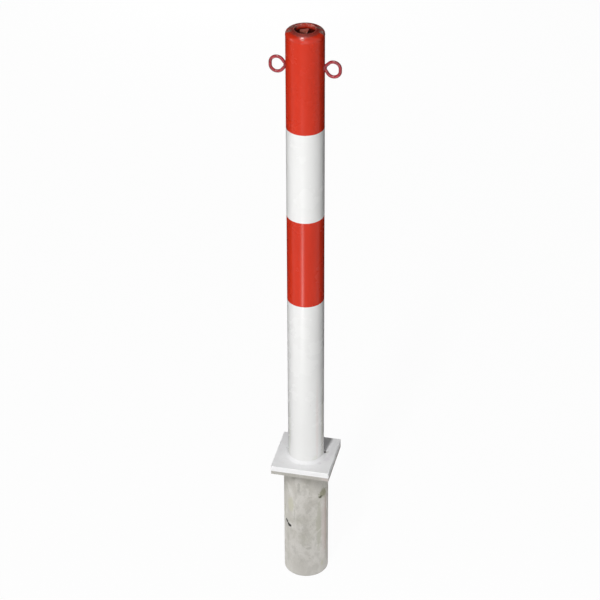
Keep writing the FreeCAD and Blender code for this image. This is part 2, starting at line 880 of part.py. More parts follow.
def make_chain_eye(label, root_rise, turned_round):
    # loop of round rod, swept both ways from its outermost point and cut to the post's surface
    body = new_body(label)
    rod = sketch_on(body, label + "_rod", "XY_Plane", eye_level)
    rod_radius_here = from_sheet("eye_rod_radius")
    draw_circle(rod, from_sheet("eye_reach") - rod_radius_here, nothing, rod_radius_here)
    for side in (1, -1):
        name = label + ("_upper" if side > 0 else "_lower")
        path = eye_half(body, name, side, root_rise)
        sweep = body.newObject("PartDesign::AdditivePipe", name + "_swept")
        sweep.Profile = rod
        sweep.Spine = path
        doc.recompute()
    trim = sketch_on(body, label + "_trim", "XZ_Plane")
    spread = from_sheet("eye_bend") * overrun
    draw_rectangle(trim, nothing, post_radius, eye_level - spread, eye_level + spread)
    revolve(body, label + "_trimmed", trim, "Groove")
    if turned_round:
        body.Placement = FreeCAD.Placement(FreeCAD.Vector(0, 0, 0), FreeCAD.Rotation(FreeCAD.Vector(0, 0, 1), 180))
    return body


def make_eye_weld(label, eye, root_rise, direction):
    # low round bead over the rod ends, cut to the post and to the rod
    reach = from_sheet("eye_bead_reach")
    spread = from_sheet("eye_bead_spread")
    level = eye_level + root_rise
    ball_radius = (reach * reach + spread * spread) / (reach * 2)
    ball = doc.addObject("Part::Sphere", label + "_ball")
    ball.setExpression("Radius", ball_radius.text)
    ball.setExpression(".Placement.Base.x", ((post_radius + reach - ball_radius) * direction).text)
    ball.setExpression(".Placement.Base.z", level.text)
    core = doc.addObject("Part::Cylinder", label + "_core")
    core.setExpression("Radius", post_radius.text)
    core.setExpression("Height", (ball_radius * 4).text)
    core.setExpression(".Placement.Base.z", (level - ball_radius * 2).text)
    outside = doc.addObject("Part::Cut", label + "_outside")
    outside.Base = ball
    outside.Tool = core
    bead = doc.addObject("Part::Cut", label)
    bead.Base = outside
    bead.Tool = eye
    return bead


# All pieces, in the order of the list in the report

half_gap = from_sheet("weld_gap_angle") / 2
right_gap = from_sheet("weld_gap_right")
left_gap = from_sheet("weld_gap_left")
gap_angle = from_sheet("weld_gap_angle")

pieces = [
    make_ground_sleeve(),
    make_flange_plate(),
    make_flange_weld(),
    make_keeper_plate(),
    make_keeper_weld(),
    make_post_tube(),
    make_head_cap(),
    make_head_seam_weld(),
    make_key_collar(),
    make_collar_weld(),
    make_bearing_disc(),
    make_stop_pin(),
    make_base_plate(),
    make_base_weld("base_weld_rear", right_gap + half_gap, left_gap - right_gap - gap_angle),
    make_base_weld("base_weld_front", left_gap + half_gap, full_turn - left_gap + right_gap - gap_angle),
    tube("mid_guide_disc", from_sheet("bush_radius"), disc_radius, guide_bottom, guide_top),
    flanged_bush("mid_guide_bush", guide_bottom, guide_top, False),
    tube("foot_disc", from_sheet("bush_radius"), disc_radius, foot_disc_bottom, foot_disc_top),
    make_foot_weld(),
    flanged_bush("foot_bush", foot_disc_bottom, foot_disc_top, True),
    make_lock_spindle(),
    make_spindle_washer(),
    make_retaining_ring(),
    make_spindle_roll_pin(),
    make_lock_rod(),
    make_latch_bar(),
    make_latch_washer(),
    make_latch_nut(),
]
right_rise = from_sheet("right_root_rise")
left_rise = from_sheet("left_root_rise")
right_eye = make_chain_eye("chain_eye_right", right_rise, False)
left_eye = make_chain_eye("chain_eye_left", left_rise, True)
pieces += [
    right_eye,
    left_eye,
    make_eye_weld("eye_weld_right", right_eye, right_rise, 1),
    make_eye_weld("eye_weld_left", left_eye, left_rise, -1),
]
doc.recompute()

for item in doc.Objects:
    if "Invalid" in item.State or "Error" in item.State:
        raise RuntimeError("%s did not build: %s" % (item.Label, item.State))

os.makedirs("parts", exist_ok=True)
for piece in pieces:
    shape = piece.Shape
    if shape.isNull() or not shape.isValid() or not shape.Solids:
        raise RuntimeError("%s has no sound solid" % piece.Label)
    print("%-18s %d solid, %.1f mm3" % (piece.Label, len(shape.Solids), shape.Volume))
for piece in pieces:
    piece.Shape.exportStep("parts/%s.step" % piece.Label)
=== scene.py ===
from math import acos, atan2, cos, pi, radians, sin, sqrt

import bmesh
import bpy
from mathutils import Matrix, Vector


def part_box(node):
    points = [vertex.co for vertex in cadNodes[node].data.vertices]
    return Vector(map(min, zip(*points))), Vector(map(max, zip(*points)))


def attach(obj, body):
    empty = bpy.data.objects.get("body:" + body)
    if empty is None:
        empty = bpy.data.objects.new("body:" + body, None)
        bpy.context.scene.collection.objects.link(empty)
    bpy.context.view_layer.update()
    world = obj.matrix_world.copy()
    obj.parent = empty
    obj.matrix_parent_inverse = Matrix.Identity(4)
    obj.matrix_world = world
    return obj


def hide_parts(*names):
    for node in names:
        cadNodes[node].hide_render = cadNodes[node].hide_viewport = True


# Looks of a removable bollard. Metres, in the frame of the CAD model: the origin is on the
# post's axis at ground level, +Z is up and the chain eyes lie along X.

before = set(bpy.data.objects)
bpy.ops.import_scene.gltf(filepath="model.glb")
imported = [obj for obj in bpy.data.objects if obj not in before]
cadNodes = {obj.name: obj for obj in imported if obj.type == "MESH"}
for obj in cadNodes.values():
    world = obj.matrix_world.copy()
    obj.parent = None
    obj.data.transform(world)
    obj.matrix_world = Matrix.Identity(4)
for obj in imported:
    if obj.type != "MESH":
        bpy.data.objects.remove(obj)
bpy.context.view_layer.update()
print("frame loaded:", len(cadNodes), "nodes")

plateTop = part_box("base_plate")[1].z
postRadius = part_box("post_tube")[1].x
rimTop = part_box("key_collar")[1].z
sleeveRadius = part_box("ground_sleeve")[1].x
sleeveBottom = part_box("ground_sleeve")[0].z
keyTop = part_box("lock_spindle")[1].z


def addObject(name, data):
    added = bpy.data.objects.new(name, data)
    bpy.context.scene.collection.objects.link(added)
    return added


# Camera

camera = {
    "distance": 3.929,  # level distance from the post's axis
    "height": 3.058,  # above the ground line
    "azimuth": 12.84,  # degrees to the right of the front
    "pitch": 33.95,  # degrees below level
    "heading": 0.17,  # degrees that it looks past the post's axis
    "roll": -0.23,
    "lens": 139.2,
    "sensor": 36,
    "farthest": 50,
}


def makeCamera():
    azimuth = radians(camera["azimuth"])
    place = Matrix.Translation((
        camera["distance"] * sin(azimuth),
        -camera["distance"] * cos(azimuth),
        camera["height"],
    ))
    heading = Matrix.Rotation(azimuth + radians(camera["heading"]), 4, "Z")
    tilt = Matrix.Rotation(radians(90 - camera["pitch"]), 4, "X")
    roll = Matrix.Rotation(radians(camera["roll"]), 4, "Z")
    lensData = bpy.data.cameras.new("camera")
    lensData.lens = camera["lens"]
    lensData.sensor_width = camera["sensor"]
    lensData.clip_end = camera["farthest"]
    cameraObject = addObject("camera", lensData)
    cameraObject.matrix_world = place @ heading @ tilt @ roll
    bpy.context.scene.camera = cameraObject


makeCamera()
print("camera placed")


# Node helpers for the materials and the Geometry Nodes trees

class Field:
    # a value in a node tree, so that sums and products can be written as such

    def __init__(self, socket):
        self.socket = socket

    def __add__(self, other):
        return maths("ADD", self, other)

    def __sub__(self, other):
        return maths("SUBTRACT", self, other)

    def __rsub__(self, other):
        return maths("SUBTRACT", other, self)

    def __mul__(self, other):
        return maths("MULTIPLY", self, other)

    def __truediv__(self, other):
        return maths("DIVIDE", self, other)


def treeOf(*values):
    # the node tree that the first field among the values belongs to
    return next(value.socket.id_data for value in values if isinstance(value, Field))


def connect(value, target):
    # value is a field, a socket or a plain value
    if isinstance(value, Field):
        value = value.socket
    if hasattr(value, "is_output"):
        target.id_data.links.new(value, target)
    elif value is not None:
        target.default_value = value


def addNode(tree, kind, inputs=None, **settings):
    node = tree.nodes.new(kind)
    for name, value in settings.items():
        setattr(node, name, value)
    for name, value in (inputs or {}).items():
        connect(value, node.inputs[name])
    return node


def maths(operation, *values, clamp=False):
    inputs = dict(enumerate(values))
    node = addNode(treeOf(*values), "ShaderNodeMath", inputs, operation=operation, use_clamp=clamp)
    return Field(node.outputs[0])


def largest(first, *others):
    for other in others:
        first = maths("MAXIMUM", first, other)
    return first


def split(tree, vector):
    return [Field(part) for part in addNode(tree, "ShaderNodeSeparateXYZ", {0: vector}).outputs]


def join(x, y, z):
    return addNode(treeOf(x, y, z), "ShaderNodeCombineXYZ", {0: x, 1: y, 2: z}).outputs[0]


def objectCoordinates(tree):
    return addNode(tree, "ShaderNodeTexCoord").outputs["Object"]


def objectPoint(tree, stretch):
    inputs = {"Vector": objectCoordinates(tree), "Scale": stretch}
    return addNode(tree, "ShaderNodeMapping", inputs).outputs[0]


def heightAbove(tree, level):
    return split(tree, objectCoordinates(tree))[2] - level


def fromAxis(tree):
    x, y, _ = split(tree, objectCoordinates(tree))
    return maths("SQRT", x * x + y * y)


def noise(tree, scale, detail=4, roughness=0.55, distortion=0, stretch=(1, 1, 1)):
    inputs = {"Vector": objectPoint(tree, stretch), "Scale": scale, "Detail": detail,
              "Roughness": roughness, "Distortion": distortion}
    return Field(addNode(tree, "ShaderNodeTexNoise", inputs).outputs["Fac"])


def fade(value, low, high, toLow=0.0, toHigh=1.0):
    # smooth step between two values
    inputs = {"Value": value, "From Min": low, "From Max": high, "To Min": toLow, "To Max": toHigh}
    node = addNode(treeOf(value), "ShaderNodeMapRange", inputs, interpolation_type="SMOOTHSTEP")
    return Field(node.outputs["Result"])


def blend(amount, first, second, how="MIX"):
    # the Mix node's colours are its inputs 6 and 7 and its output 2
    first, second = (value if isinstance(value, Field) else (*value, 1) for value in (first, second))
    node = addNode(treeOf(amount, first), "ShaderNodeMix", {0: amount, 6: first, 7: second},
                   data_type="RGBA", blend_type=how)
    return Field(node.outputs[2])


def deeper(colour, share):
    return tuple(share * part for part in colour)


def patch(rough, place, turn, size, ragged=1.8, soft=0.6):
    # 1 inside an ellipsoid and 0 outside; the noise rough makes its edge ragged
    tree = treeOf(rough)
    inputs = {"Vector": objectCoordinates(tree), "Location": place, "Scale": size,
              "Rotation": [radians(angle) for angle in turn]}
    local = addNode(tree, "ShaderNodeMapping", inputs, vector_type="TEXTURE")
    distance = addNode(tree, "ShaderNodeVectorMath", {0: local.outputs[0]}, operation="LENGTH")
    shifted = rough * ragged + Field(distance.outputs["Value"])
    return fade(shifted, 1 + ragged / 2, 1 - soft + ragged / 2)


def onTube(radius, angle, height):
    turned = radians(angle)
    return radius * cos(turned), radius * sin(turned), height


def addStainsAndPaintedLight(colour, stainsAndPaintedLight, tones, radius, ragged=1.8, soft=0.45):
    # a stain or a patch of painted light on a tube: angle, height, half width, half height, lean in
    # degrees, tone, strength
    reach = 0.03  # through the tube's wall, so that the curve stays inside
    rough = noise(treeOf(colour), 210, 5, 0.65)
    for angle, height, width, tall, lean, tone, strength in stainsAndPaintedLight:
        place, size = onTube(radius, angle, height), (reach, width, tall)
        mask = patch(rough, place, (lean, 0, angle), size, ragged, soft)
        colour = blend(mask * strength, colour, tones[tone])
    return colour


def bump(height, distance, normal=None):
    inputs = {"Height": height, "Distance": distance, "Normal": normal}
    return Field(addNode(treeOf(height), "ShaderNodeBump", inputs).outputs[0])


def setShader(material, inputs):
    shader = material.node_tree.nodes["Principled BSDF"]
    for name, value in inputs.items():
        connect(value, shader.inputs[name])
    return material


def newMaterial(name, roughness, metallic=0.0, specular=0.25):
    material = bpy.data.materials.new(name)
    material.use_nodes = True
    setShader(material, {"Roughness": roughness, "Metallic": metallic, "Specular IOR Level": specular})
    return material, material.node_tree


# Painted post

postPaint = {
    "white": (0.83, 0.83, 0.82),
    "red": (0.61, 0.028, 0.0062),
    "scuffed": (0.3, 0.06, 0.045),
    "bandHeights": (0.4, 0.6, 0.8),  # above the cover plate: white, red, white, red
    "edgeWander": 0.0006,  # how far a masked edge strays
    "edgeSoft": 0.0002,
    "coatThickness": 0.00015,
    "peel": 0.000012,
    "roughness": 0.27,
    "dustReach": 0.16,  # above the cover plate
    "bareBelow": (0.0006, 0.003),  # here paint gives way to bare zinc
    "zinc": (0.4, 0.4, 0.375),  # below the plate the tube is galvanised, not painted
    "rubbed": (0.56, 0.555, 0.53),
    "tones": {
        "grime": (0.46, 0.43, 0.36),
        "pink": (0.8, 0.73, 0.71),
        "olive": (0.56, 0.54, 0.45),
        "green": (0.72, 0.73, 0.66),
        "pit": (0.02, 0.018, 0.016),
    },
    "stainsAndPaintedLight": (
        # the first three are painted light down the lower post's edges: a pinkish painted reflection
        # right of the middle, olive painted shade at the right edge and a greenish painted reflection at
        # the left edge
        (-39, 0.11, 0.0055, 0.16, 0, "pink", 0.5),
        (-13, 0.1, 0.0045, 0.17, 0, "olive", 0.55),
        (-142, 0.09, 0.006, 0.09, 0, "green", 0.5),
        (-47, 0.028, 0.009, 0.012, 0, "green", 0.45),
        # near-black painted shade at the two places where the foot bead is left open
        (13.5, 0.0205, 0.004, 0.0036, 0, "pit", 1.0),
        (176, 0.0205, 0.0024, 0.002, 0, "pit", 0.9),
        (-100, 0.055, 0.0012, 0.0005, 20, "grime", 0.4),
        (-62, 0.171, 0.0009, 0.003, 8, "grime", 0.35),
        (-118, 0.235, 0.0016, 0.0006, 0, "grime", 0.3),
        (120, 0.12, 0.003, 0.02, 4, "olive", 0.25),
        (60, 0.31, 0.0018, 0.012, -7, "grime", 0.2),
    ),
}


def makePostPaint():
    material, tree = newMaterial("postPaint", postPaint["roughness"])
    tones, soft = postPaint["tones"], postPaint["edgeSoft"]
    z = heightAbove(tree, 0)
    wander = noise(tree, 70, 2)
    height = wander * postPaint["edgeWander"] + (z - plateTop)
    levels = (level + postPaint["edgeWander"] / 2 for level in postPaint["bandHeights"])
    low, middle, top = (fade(height, level - soft, level + soft) for level in levels)
    red = largest(low * (1 - middle), top)

    # a little uneven where the spray passes overlapped
    passes = noise(tree, 3, 2, stretch=(6, 6, 1))
    redPaint = blend(fade(passes, 0.35, 0.7), postPaint["red"], deeper(postPaint["red"], 0.9))
    whitePaint = blend(fade(passes, 0.3, 0.75), postPaint["white"], deeper(postPaint["white"], 0.985))
    whitePaint = addStainsAndPaintedLight(whitePaint, postPaint["stainsAndPaintedLight"], tones, postRadius, 0.8, 0.75)

    # dust and handling marks near the foot, a few scuffs everywhere
    foot = fade(height, 0, postPaint["dustReach"], 1, 0.12)
    specks = fade(noise(tree, 260, 3), 0.63, 0.74)
    smears = fade(noise(tree, 34, 3, stretch=(1, 1, 0.35)), 0.5, 0.85)
    whitePaint = blend(largest(specks, smears) * foot * 0.05, whitePaint, tones["grime"])
    scuffs = fade(noise(tree, 420, 2, stretch=(1, 1, 0.12)), 0.69, 0.74)
    redPaint = blend(scuffs * 0.25, redPaint, postPaint["scuffed"])
    colour = blend(red, whitePaint, redPaint)

    # galvanised foot, rubbed bright where it slides in the sleeve
    bare = fade(wander * 0.003 + z, *postPaint["bareBelow"], 1, 0)
    rubs = fade(noise(tree, 300, 4, stretch=(1, 1, 0.03)), 0.5, 0.62)
    crystals = fade(noise(tree, 90, 4, 0.6), 0.3, 0.7)
    zinc = blend(crystals, postPaint["zinc"], postPaint["rubbed"])
    zinc = blend(rubs * 0.6, zinc, postPaint["rubbed"])

    dull = postPaint["roughness"]
    gloss = fade(noise(tree, 18, 4), 0.3, 0.8, dull - 0.02, dull + 0.03)
    step = bump(red, postPaint["coatThickness"])
    return setShader(material, {
        "Base Color": blend(bare, colour, zinc),
        "Metallic": bare * 0.35,
        "Roughness": bare * 0.22 + gloss,
        "Normal": bump(noise(tree, 420, 2), postPaint["peel"], step),
    })


# Painted head, worn and dirty on top, with a painted highlight and painted shade in its bore and painted
# shade on its shoulders

headPaint = {
    "red": (0.62, 0.032, 0.011),
    "worn": (0.2, 0.02, 0.012),  # the dome, dulled by weather and keys
    "scuffed": (0.17, 0.07, 0.056),  # worn paint and painted shade on the shoulders at both sides of the mouth
    "primer": (0.5, 0.38, 0.35),
    "paintedHighlight": (0.66, 0.33, 0.28),  # painted highlight, pale pink, high on the bore's wall
    # near black: painted shade deep in the bore and on its left wall, grime on the collar's lip and the
    # darker corner round the collar
    "dirt": (0.035, 0.006, 0.004),
    "roughness": 0.15,
    "wornRoughness": 0.62,
    "marks": {
        # edges of each, from the axis
        "domeFrom": (0.0213, 0.0222),
        "domeTo": (0.0307, 0.0357),
        "boreTo": (0.0226, 0.0212),
        "lipFrom": (0.0208, 0.0216),
        "lipTo": (0.0242, 0.0246),
        # the same, above the collar's rim
        "domeHeights": (-0.012, -0.008),
        "paintedHighlightHeights": (-0.008, -0.002),
        "boreShadeHeights": (-0.0095, -0.0055),
        "lipHeights": (-0.0014, -0.0006),
        "cornerHeights": (-0.0002, -0.0009),
        "knockHeights": (-0.0016, -0.0004),
        # radius of a ring, half widths where it is full and gone
        "corner": (0.02435, 0.0002, 0.0016),  # between collar and dome
        "knocks": (0.0216, 0.0004, 0.0016),  # on the collar's rim
    },
    # painted shade on the bore's left wall: x, y and depth below that rim, half sizes
    "leftWallShade": ((-0.02, 0.001, 0.006), (0.0065, 0.015, 0.0075)),
    "shoulderDepth": 0.004,
    "shoulderTall": 0.02,
    "shoulders": (
        # angle, from the axis, half width, half length
        (165, 0.03, 0.0125, 0.0105),
        (196, 0.031, 0.0085, 0.0085),
        (28, 0.0305, 0.0125, 0.0105),
        (2, 0.033, 0.0075, 0.01),
        (95, 0.032, 0.004, 0.008),
    ),
}


def ringMark(radial, middle, full, gone):
    return fade(maths("ABSOLUTE", radial - middle), full, gone, 1, 0)


def makeHeadPaint():
    material, tree = newMaterial("headPaint", headPaint["roughness"], specular=0.3)
    marks = headPaint["marks"]
    radial = fromAxis(tree)
    z = heightAbove(tree, rimTop)
    cloudy = fade(noise(tree, 60, 4), 0.35, 0.7)
    colour = blend(cloudy, headPaint["red"], deeper(headPaint["red"], 0.9))

    # weathered dome; worn paint and painted shade on the shoulders
    rough = noise(tree, 170, 5, 0.65)
    dome = (fade(rough * 0.006 + radial, *marks["domeTo"], 1, 0) * fade(radial, *marks["domeFrom"])
            * fade(z, *marks["domeHeights"]))
    blotches = fade(noise(tree, 240, 5, 0.7), 0.38, 0.62, 0.7, 1)
    colour = blend(dome * blotches, colour, headPaint["worn"])
    level, tall = rimTop - headPaint["shoulderDepth"], headPaint["shoulderTall"]
    worn = largest(*(patch(rough, onTube(reach, angle, level), (0, 0, angle), (width, length, tall), 1.1)
                     for angle, reach, width, length in headPaint["shoulders"]))
    colour = blend(worn * 0.95, colour, headPaint["scuffed"])
    chips = worn * fade(noise(tree, 460, 4, stretch=(1, 1, 2)), 0.52, 0.62)
    colour = blend(chips * 0.65, colour, headPaint["primer"])

    # a painted highlight high on the bore, painted shade deep in it and on its left wall, darker in the
    # corner round the collar, bare knocks on its rim
    inside = fade(radial, *marks["boreTo"])
    # painted highlight high on the bore's wall
    paintedHighlight = inside * fade(rough, 0.35, 0.6) * fade(z, *marks["paintedHighlightHeights"])
    colour = blend(paintedHighlight * 0.8, colour, headPaint["paintedHighlight"])
    # painted shade deep in the bore
    bore = inside * fade(rough * 0.003 + z, *marks["boreShadeHeights"], 1, 0)
    corner = ringMark(radial, *marks["corner"]) * fade(z, *marks["cornerHeights"])
    lip = (fade(radial, *marks["lipFrom"]) * fade(radial, *marks["lipTo"], 1, 0)
           * fade(z, *marks["lipHeights"]) * blotches)
    # painted shade on the bore's left wall
    (x, y, depth), size = headPaint["leftWallShade"]
    leftWallShade = patch(rough, (x, y, rimTop - depth), (0, 0, 0), size, 1.6)
    shadeAndDirty = largest(corner * 0.4, bore * 0.95, lip * 0.16, leftWallShade * inside)
    colour = blend(shadeAndDirty, colour, headPaint["dirt"])
    knocks = (ringMark(radial, *marks["knocks"]) * fade(z, *marks["knockHeights"])
              * fade(noise(tree, 300, 3), 0.52, 0.6))

    dull = largest(dome * 0.7, worn)
    peel = bump(noise(tree, 380, 2), 0.00002)
    pitted = bump(dull * rough, 0.0003, peel)
    return setShader(material, {
        "Base Color": blend(knocks * 0.25, colour, headPaint["primer"]),
        "Roughness": fade(dull, 0, 1, headPaint["roughness"], headPaint["wornRoughness"]),
        "Normal": bump(largest(chips, knocks), -0.00015, pitted),
    })


# Key pin: turned steel with red overspray, rubbed by the key

keyPin = {
    "overspray": (0.43, 0.09, 0.062),
    "steel": (0.26, 0.2, 0.18),
    "ochre": (0.15, 0.065, 0.022),
    "shadowed": (0.03, 0.006, 0.004),
    "oiled": (0.3, 0.29, 0.28),
    "ochreSpot": (0.0015, -0.0052, 0.0032, 0.0022, 0.004),  # x, y and half sizes
    # above the pin's top
    "sides": (-0.0015, -0.0035),
    "bareBelow": (-0.0205, -0.0195),  # where the head's chamber ends
}


def makeKeyPaint():
    material, tree = newMaterial("keyPaint", 0.5)
    z = heightAbove(tree, keyTop)
    rough = noise(tree, 260, 5, 0.7)
    rubbed = fade(rough, 0.5, 0.64)
    colour = blend(rubbed * 0.6, keyPin["overspray"], keyPin["steel"])
    x, y, *size = keyPin["ochreSpot"]
    ochre = patch(rough, (x, y, keyTop), (0, 0, 0), size, 1.6, 0.7)
    colour = blend(ochre * 0.8, colour, keyPin["ochre"])
    colour = blend(fade(z, *keyPin["sides"]) * 0.7, colour, keyPin["shadowed"])
    # below the chamber the spindle is bare and oiled
    bare = fade(z, *keyPin["bareBelow"], 1, 0)
    return setShader(material, {
        "Base Color": blend(bare, colour, keyPin["oiled"]),
        "Metallic": largest(rubbed * 0.4, bare * 0.9),
        "Roughness": fade(rough, 0.3, 0.75, 0.38, 0.62),
        "Normal": bump(rough, 0.0002),
    })


# Painted chain eyes and their welds

eyePaint = {
    "colour": (0.36, 0.024, 0.034),
    "thin": (0.22, 0.018, 0.024),
    "dark": (0.1, 0.012, 0.014),
    "rootShadeReach": (0.002, 0.0055),  # painted shade where the eyes meet the post: out from the post, full and gone
    "roughness": 0.2,
}


def makeEyePaint():
    material, tree = newMaterial("eyePaint", eyePaint["roughness"], specular=0.5)
    cloudy = fade(noise(tree, 110, 4), 0.4, 0.7)
    colour = blend(cloudy, eyePaint["colour"], eyePaint["thin"])
    rough = noise(tree, 240, 3)
    full, gone = (postRadius + reach for reach in eyePaint["rootShadeReach"])
    # painted shade at the eyes' roots, where they meet the post
    root = fade(rough * 0.004 + fromAxis(tree), full, gone, 1, 0)
    return setShader(material, {
        "Base Color": blend(root * 0.75, colour, eyePaint["dark"]),
        "Roughness": fade(rough, 0.3, 0.75, 0.2, 0.34),
        "Normal": bump(rough, 0.00012),
    })


# Painted cover plate and foot weld

platePaint = {
    "white": (0.9, 0.9, 0.905),
    "roughness": 0.36,
    "topFrom": (-0.0009, -0.0003),  # above the plate's top
    "sidesFrom": (-0.0009, -0.0013),
    "sawnFrom": (0.0615, 0.0622),  # from the axis
    "tones": {
        "shade": (0.86, 0.855, 0.86),
        "lilac": (0.72, 0.69, 0.74),
        "grime": (0.42, 0.4, 0.36),
        "pit": (0.02, 0.018, 0.016),
        "bright": (0.88, 0.88, 0.88),
    },
    "stainsAndPaintedLight": (
        # x, y, half sizes, spin, tone, strength
        # the two pits are near-black painted shade where the foot bead is left open
        (0.0388, 0.0096, 0.004, 0.0034, 0, "pit", 1.0),
        (0.0425, 0.011, 0.006, 0.0045, 20, "grime", 0.4),
        (-0.0395, 0.0048, 0.002, 0.0018, 0, "pit", 0.9),
        (-0.044, 0.007, 0.003, 0.0022, 0, "grime", 0.45),
        (0.043, 0.002, 0.0026, 0.0034, 0, "bright", 0.9),
        (0.048, -0.012, 0.008, 0.011, -20, "lilac", 0.35),
        (0.052, 0.006, 0.006, 0.01, -10, "lilac", 0.3),
        (0.036, -0.03, 0.006, 0.005, 30, "lilac", 0.4),
        (-0.05, 0.024, 0.007, 0.012, 20, "shade", 0.7),
        (-0.054, -0.004, 0.005, 0.008, 0, "shade", 0.5),
        (-0.03, 0.054, 0.01, 0.005, 0, "lilac", 0.4),
        (0.02, 0.056, 0.012, 0.004, 0, "grime", 0.2),
    ),
}


def makePlatePaint():
    material, tree = newMaterial("platePaint", platePaint["roughness"])
    tones = platePaint["tones"]
    mottle = fade(noise(tree, 75, 5, 0.65), 0.46, 0.72)
    z = heightAbove(tree, plateTop)
    topSide = fade(z, *platePaint["topFrom"], 0.15, 0.7)
    colour = blend(mottle * topSide, platePaint["white"], tones["shade"])
    rough = noise(tree, 240, 5, 0.65)
    for x, y, wide, long, spin, tone, strength in platePaint["stainsAndPaintedLight"]:
        mask = patch(rough, (x, y, plateTop), (0, 0, spin), (wide, long, 0.012))
        colour = blend(mask * strength, colour, tones[tone])
    specks = fade(noise(tree, 520, 2), 0.67, 0.75)
    colour = blend(specks * 0.3, colour, tones["grime"])
    # sawn edges of the plate, with the paint thin over the saw marks
    sawn = fade(noise(tree, 900, 3, stretch=(0.05, 0.05, 1)), 0.5, 0.62)
    edges = sawn * fade(z, *platePaint["sidesFrom"]) * fade(fromAxis(tree), *platePaint["sawnFrom"])
    uneven = bump(noise(tree, 160, 4), 0.0003)
    return setShader(material, {
        "Base Color": blend(edges * 0.08, colour, tones["grime"]),
        "Roughness": fade(mottle, 0, 1, platePaint["roughness"], 0.5),
        "Normal": bump(edges, -0.00003, uneven),
    })


# Galvanised sleeve and flange

galvanised = {
    "zinc": (0.525, 0.506, 0.465),
    "flange": 0.86,  # share of the sleeve's paleness that the flange has
    "roughness": 0.62,
    "paleBelow": -0.19,
    "darkRim": (0.0012, 0.0026),  # above the sleeve's end
    "tones": {
        "pale": (0.63, 0.612, 0.578),
        "dark": (0.345, 0.335, 0.3),
        "brown": (0.49, 0.405, 0.36),
        "olive": (0.25, 0.245, 0.15),
        "moss": (0.085, 0.085, 0.055),
        "greenish": (0.43, 0.425, 0.35),
        "yellowish": (0.53, 0.52, 0.41),
        "pink": (0.6, 0.52, 0.5),
        "pit": (0.022, 0.02, 0.018),
    },
    # in the same columns as the post's
    "sleeveStains": (
        (-121, -0.095, 0.01, 0.024, 0, "yellowish", 0.7),
        (-42, -0.15, 0.009, 0.078, 0, "greenish", 0.65),
        (-45, -0.165, 0.019, 0.0035, 30, "pale", 0.55),
        (-16.5, -0.15, 0.005, 0.11, 0, "brown", 0.8),
        (-25, -0.16, 0.0085, 0.085, 0, "pink", 0.5),
        (-28, -0.0655, 0.016, 0.0135, 26, "olive", 0.8),
        (-37.0, -0.0715, 0.0048, 0.0044, 20, "moss", 0.9),
        (-138.5, -0.1465, 0.0052, 0.0056, 10, "pit", 1.0),
        (-133, -0.1497, 0.0072, 0.003, -36, "pit", 0.95),
        (-127.0, -0.1535, 0.008, 0.0052, -15, "pit", 1.0),
        (-110, -0.127, 0.0012, 0.031, 0, "dark", 0.5),
        (-97, -0.04, 0.004, 0.018, 0, "dark", 0.55),
        (-78, -0.036, 0.01, 0.006, 0, "dark", 0.35),
        (-67.6, -0.066, 0.007, 0.0013, 0, "dark", 0.45),
        (-81, -0.154, 0.008, 0.009, 20, "dark", 0.3),
        (-70, -0.2065, 0.0075, 0.0042, 0, "dark", 0.45),
        (-68, -0.2262, 0.004, 0.0006, 0, "dark", 0.6),
        (-68, -0.235, 0.004, 0.0006, 0, "dark", 0.6),
        (-97, -0.219, 0.01, 0.0006, 0, "dark", 0.35),
        (-31, -0.259, 0.0045, 0.009, 0, "yellowish", 0.7),
        (-52, -0.262, 0.01, 0.012, 0, "dark", 0.2),
        (-105, -0.15, 0.006, 0.02, 14, "pale", 0.5),
        (-90, -0.102, 0.01, 0.012, 0, "pale", 0.4),
        (40, -0.09, 0.012, 0.03, 0, "greenish", 0.5),
        (75, -0.17, 0.005, 0.07, 0, "brown", 0.5),
        (110, -0.06, 0.009, 0.005, 12, "dark", 0.5),
        (150, -0.2, 0.015, 0.03, 0, "yellowish", 0.5),
        (165, -0.07, 0.004, 0.04, 0, "dark", 0.4),
        (95, -0.24, 0.003, 0.003, 0, "moss", 0.7),
    ),
    # the flange's own patch: place and half sizes
    "flangeStain": ((0.055, -0.0625, 0.004), (0.014, 0.02, 0.008)),
}


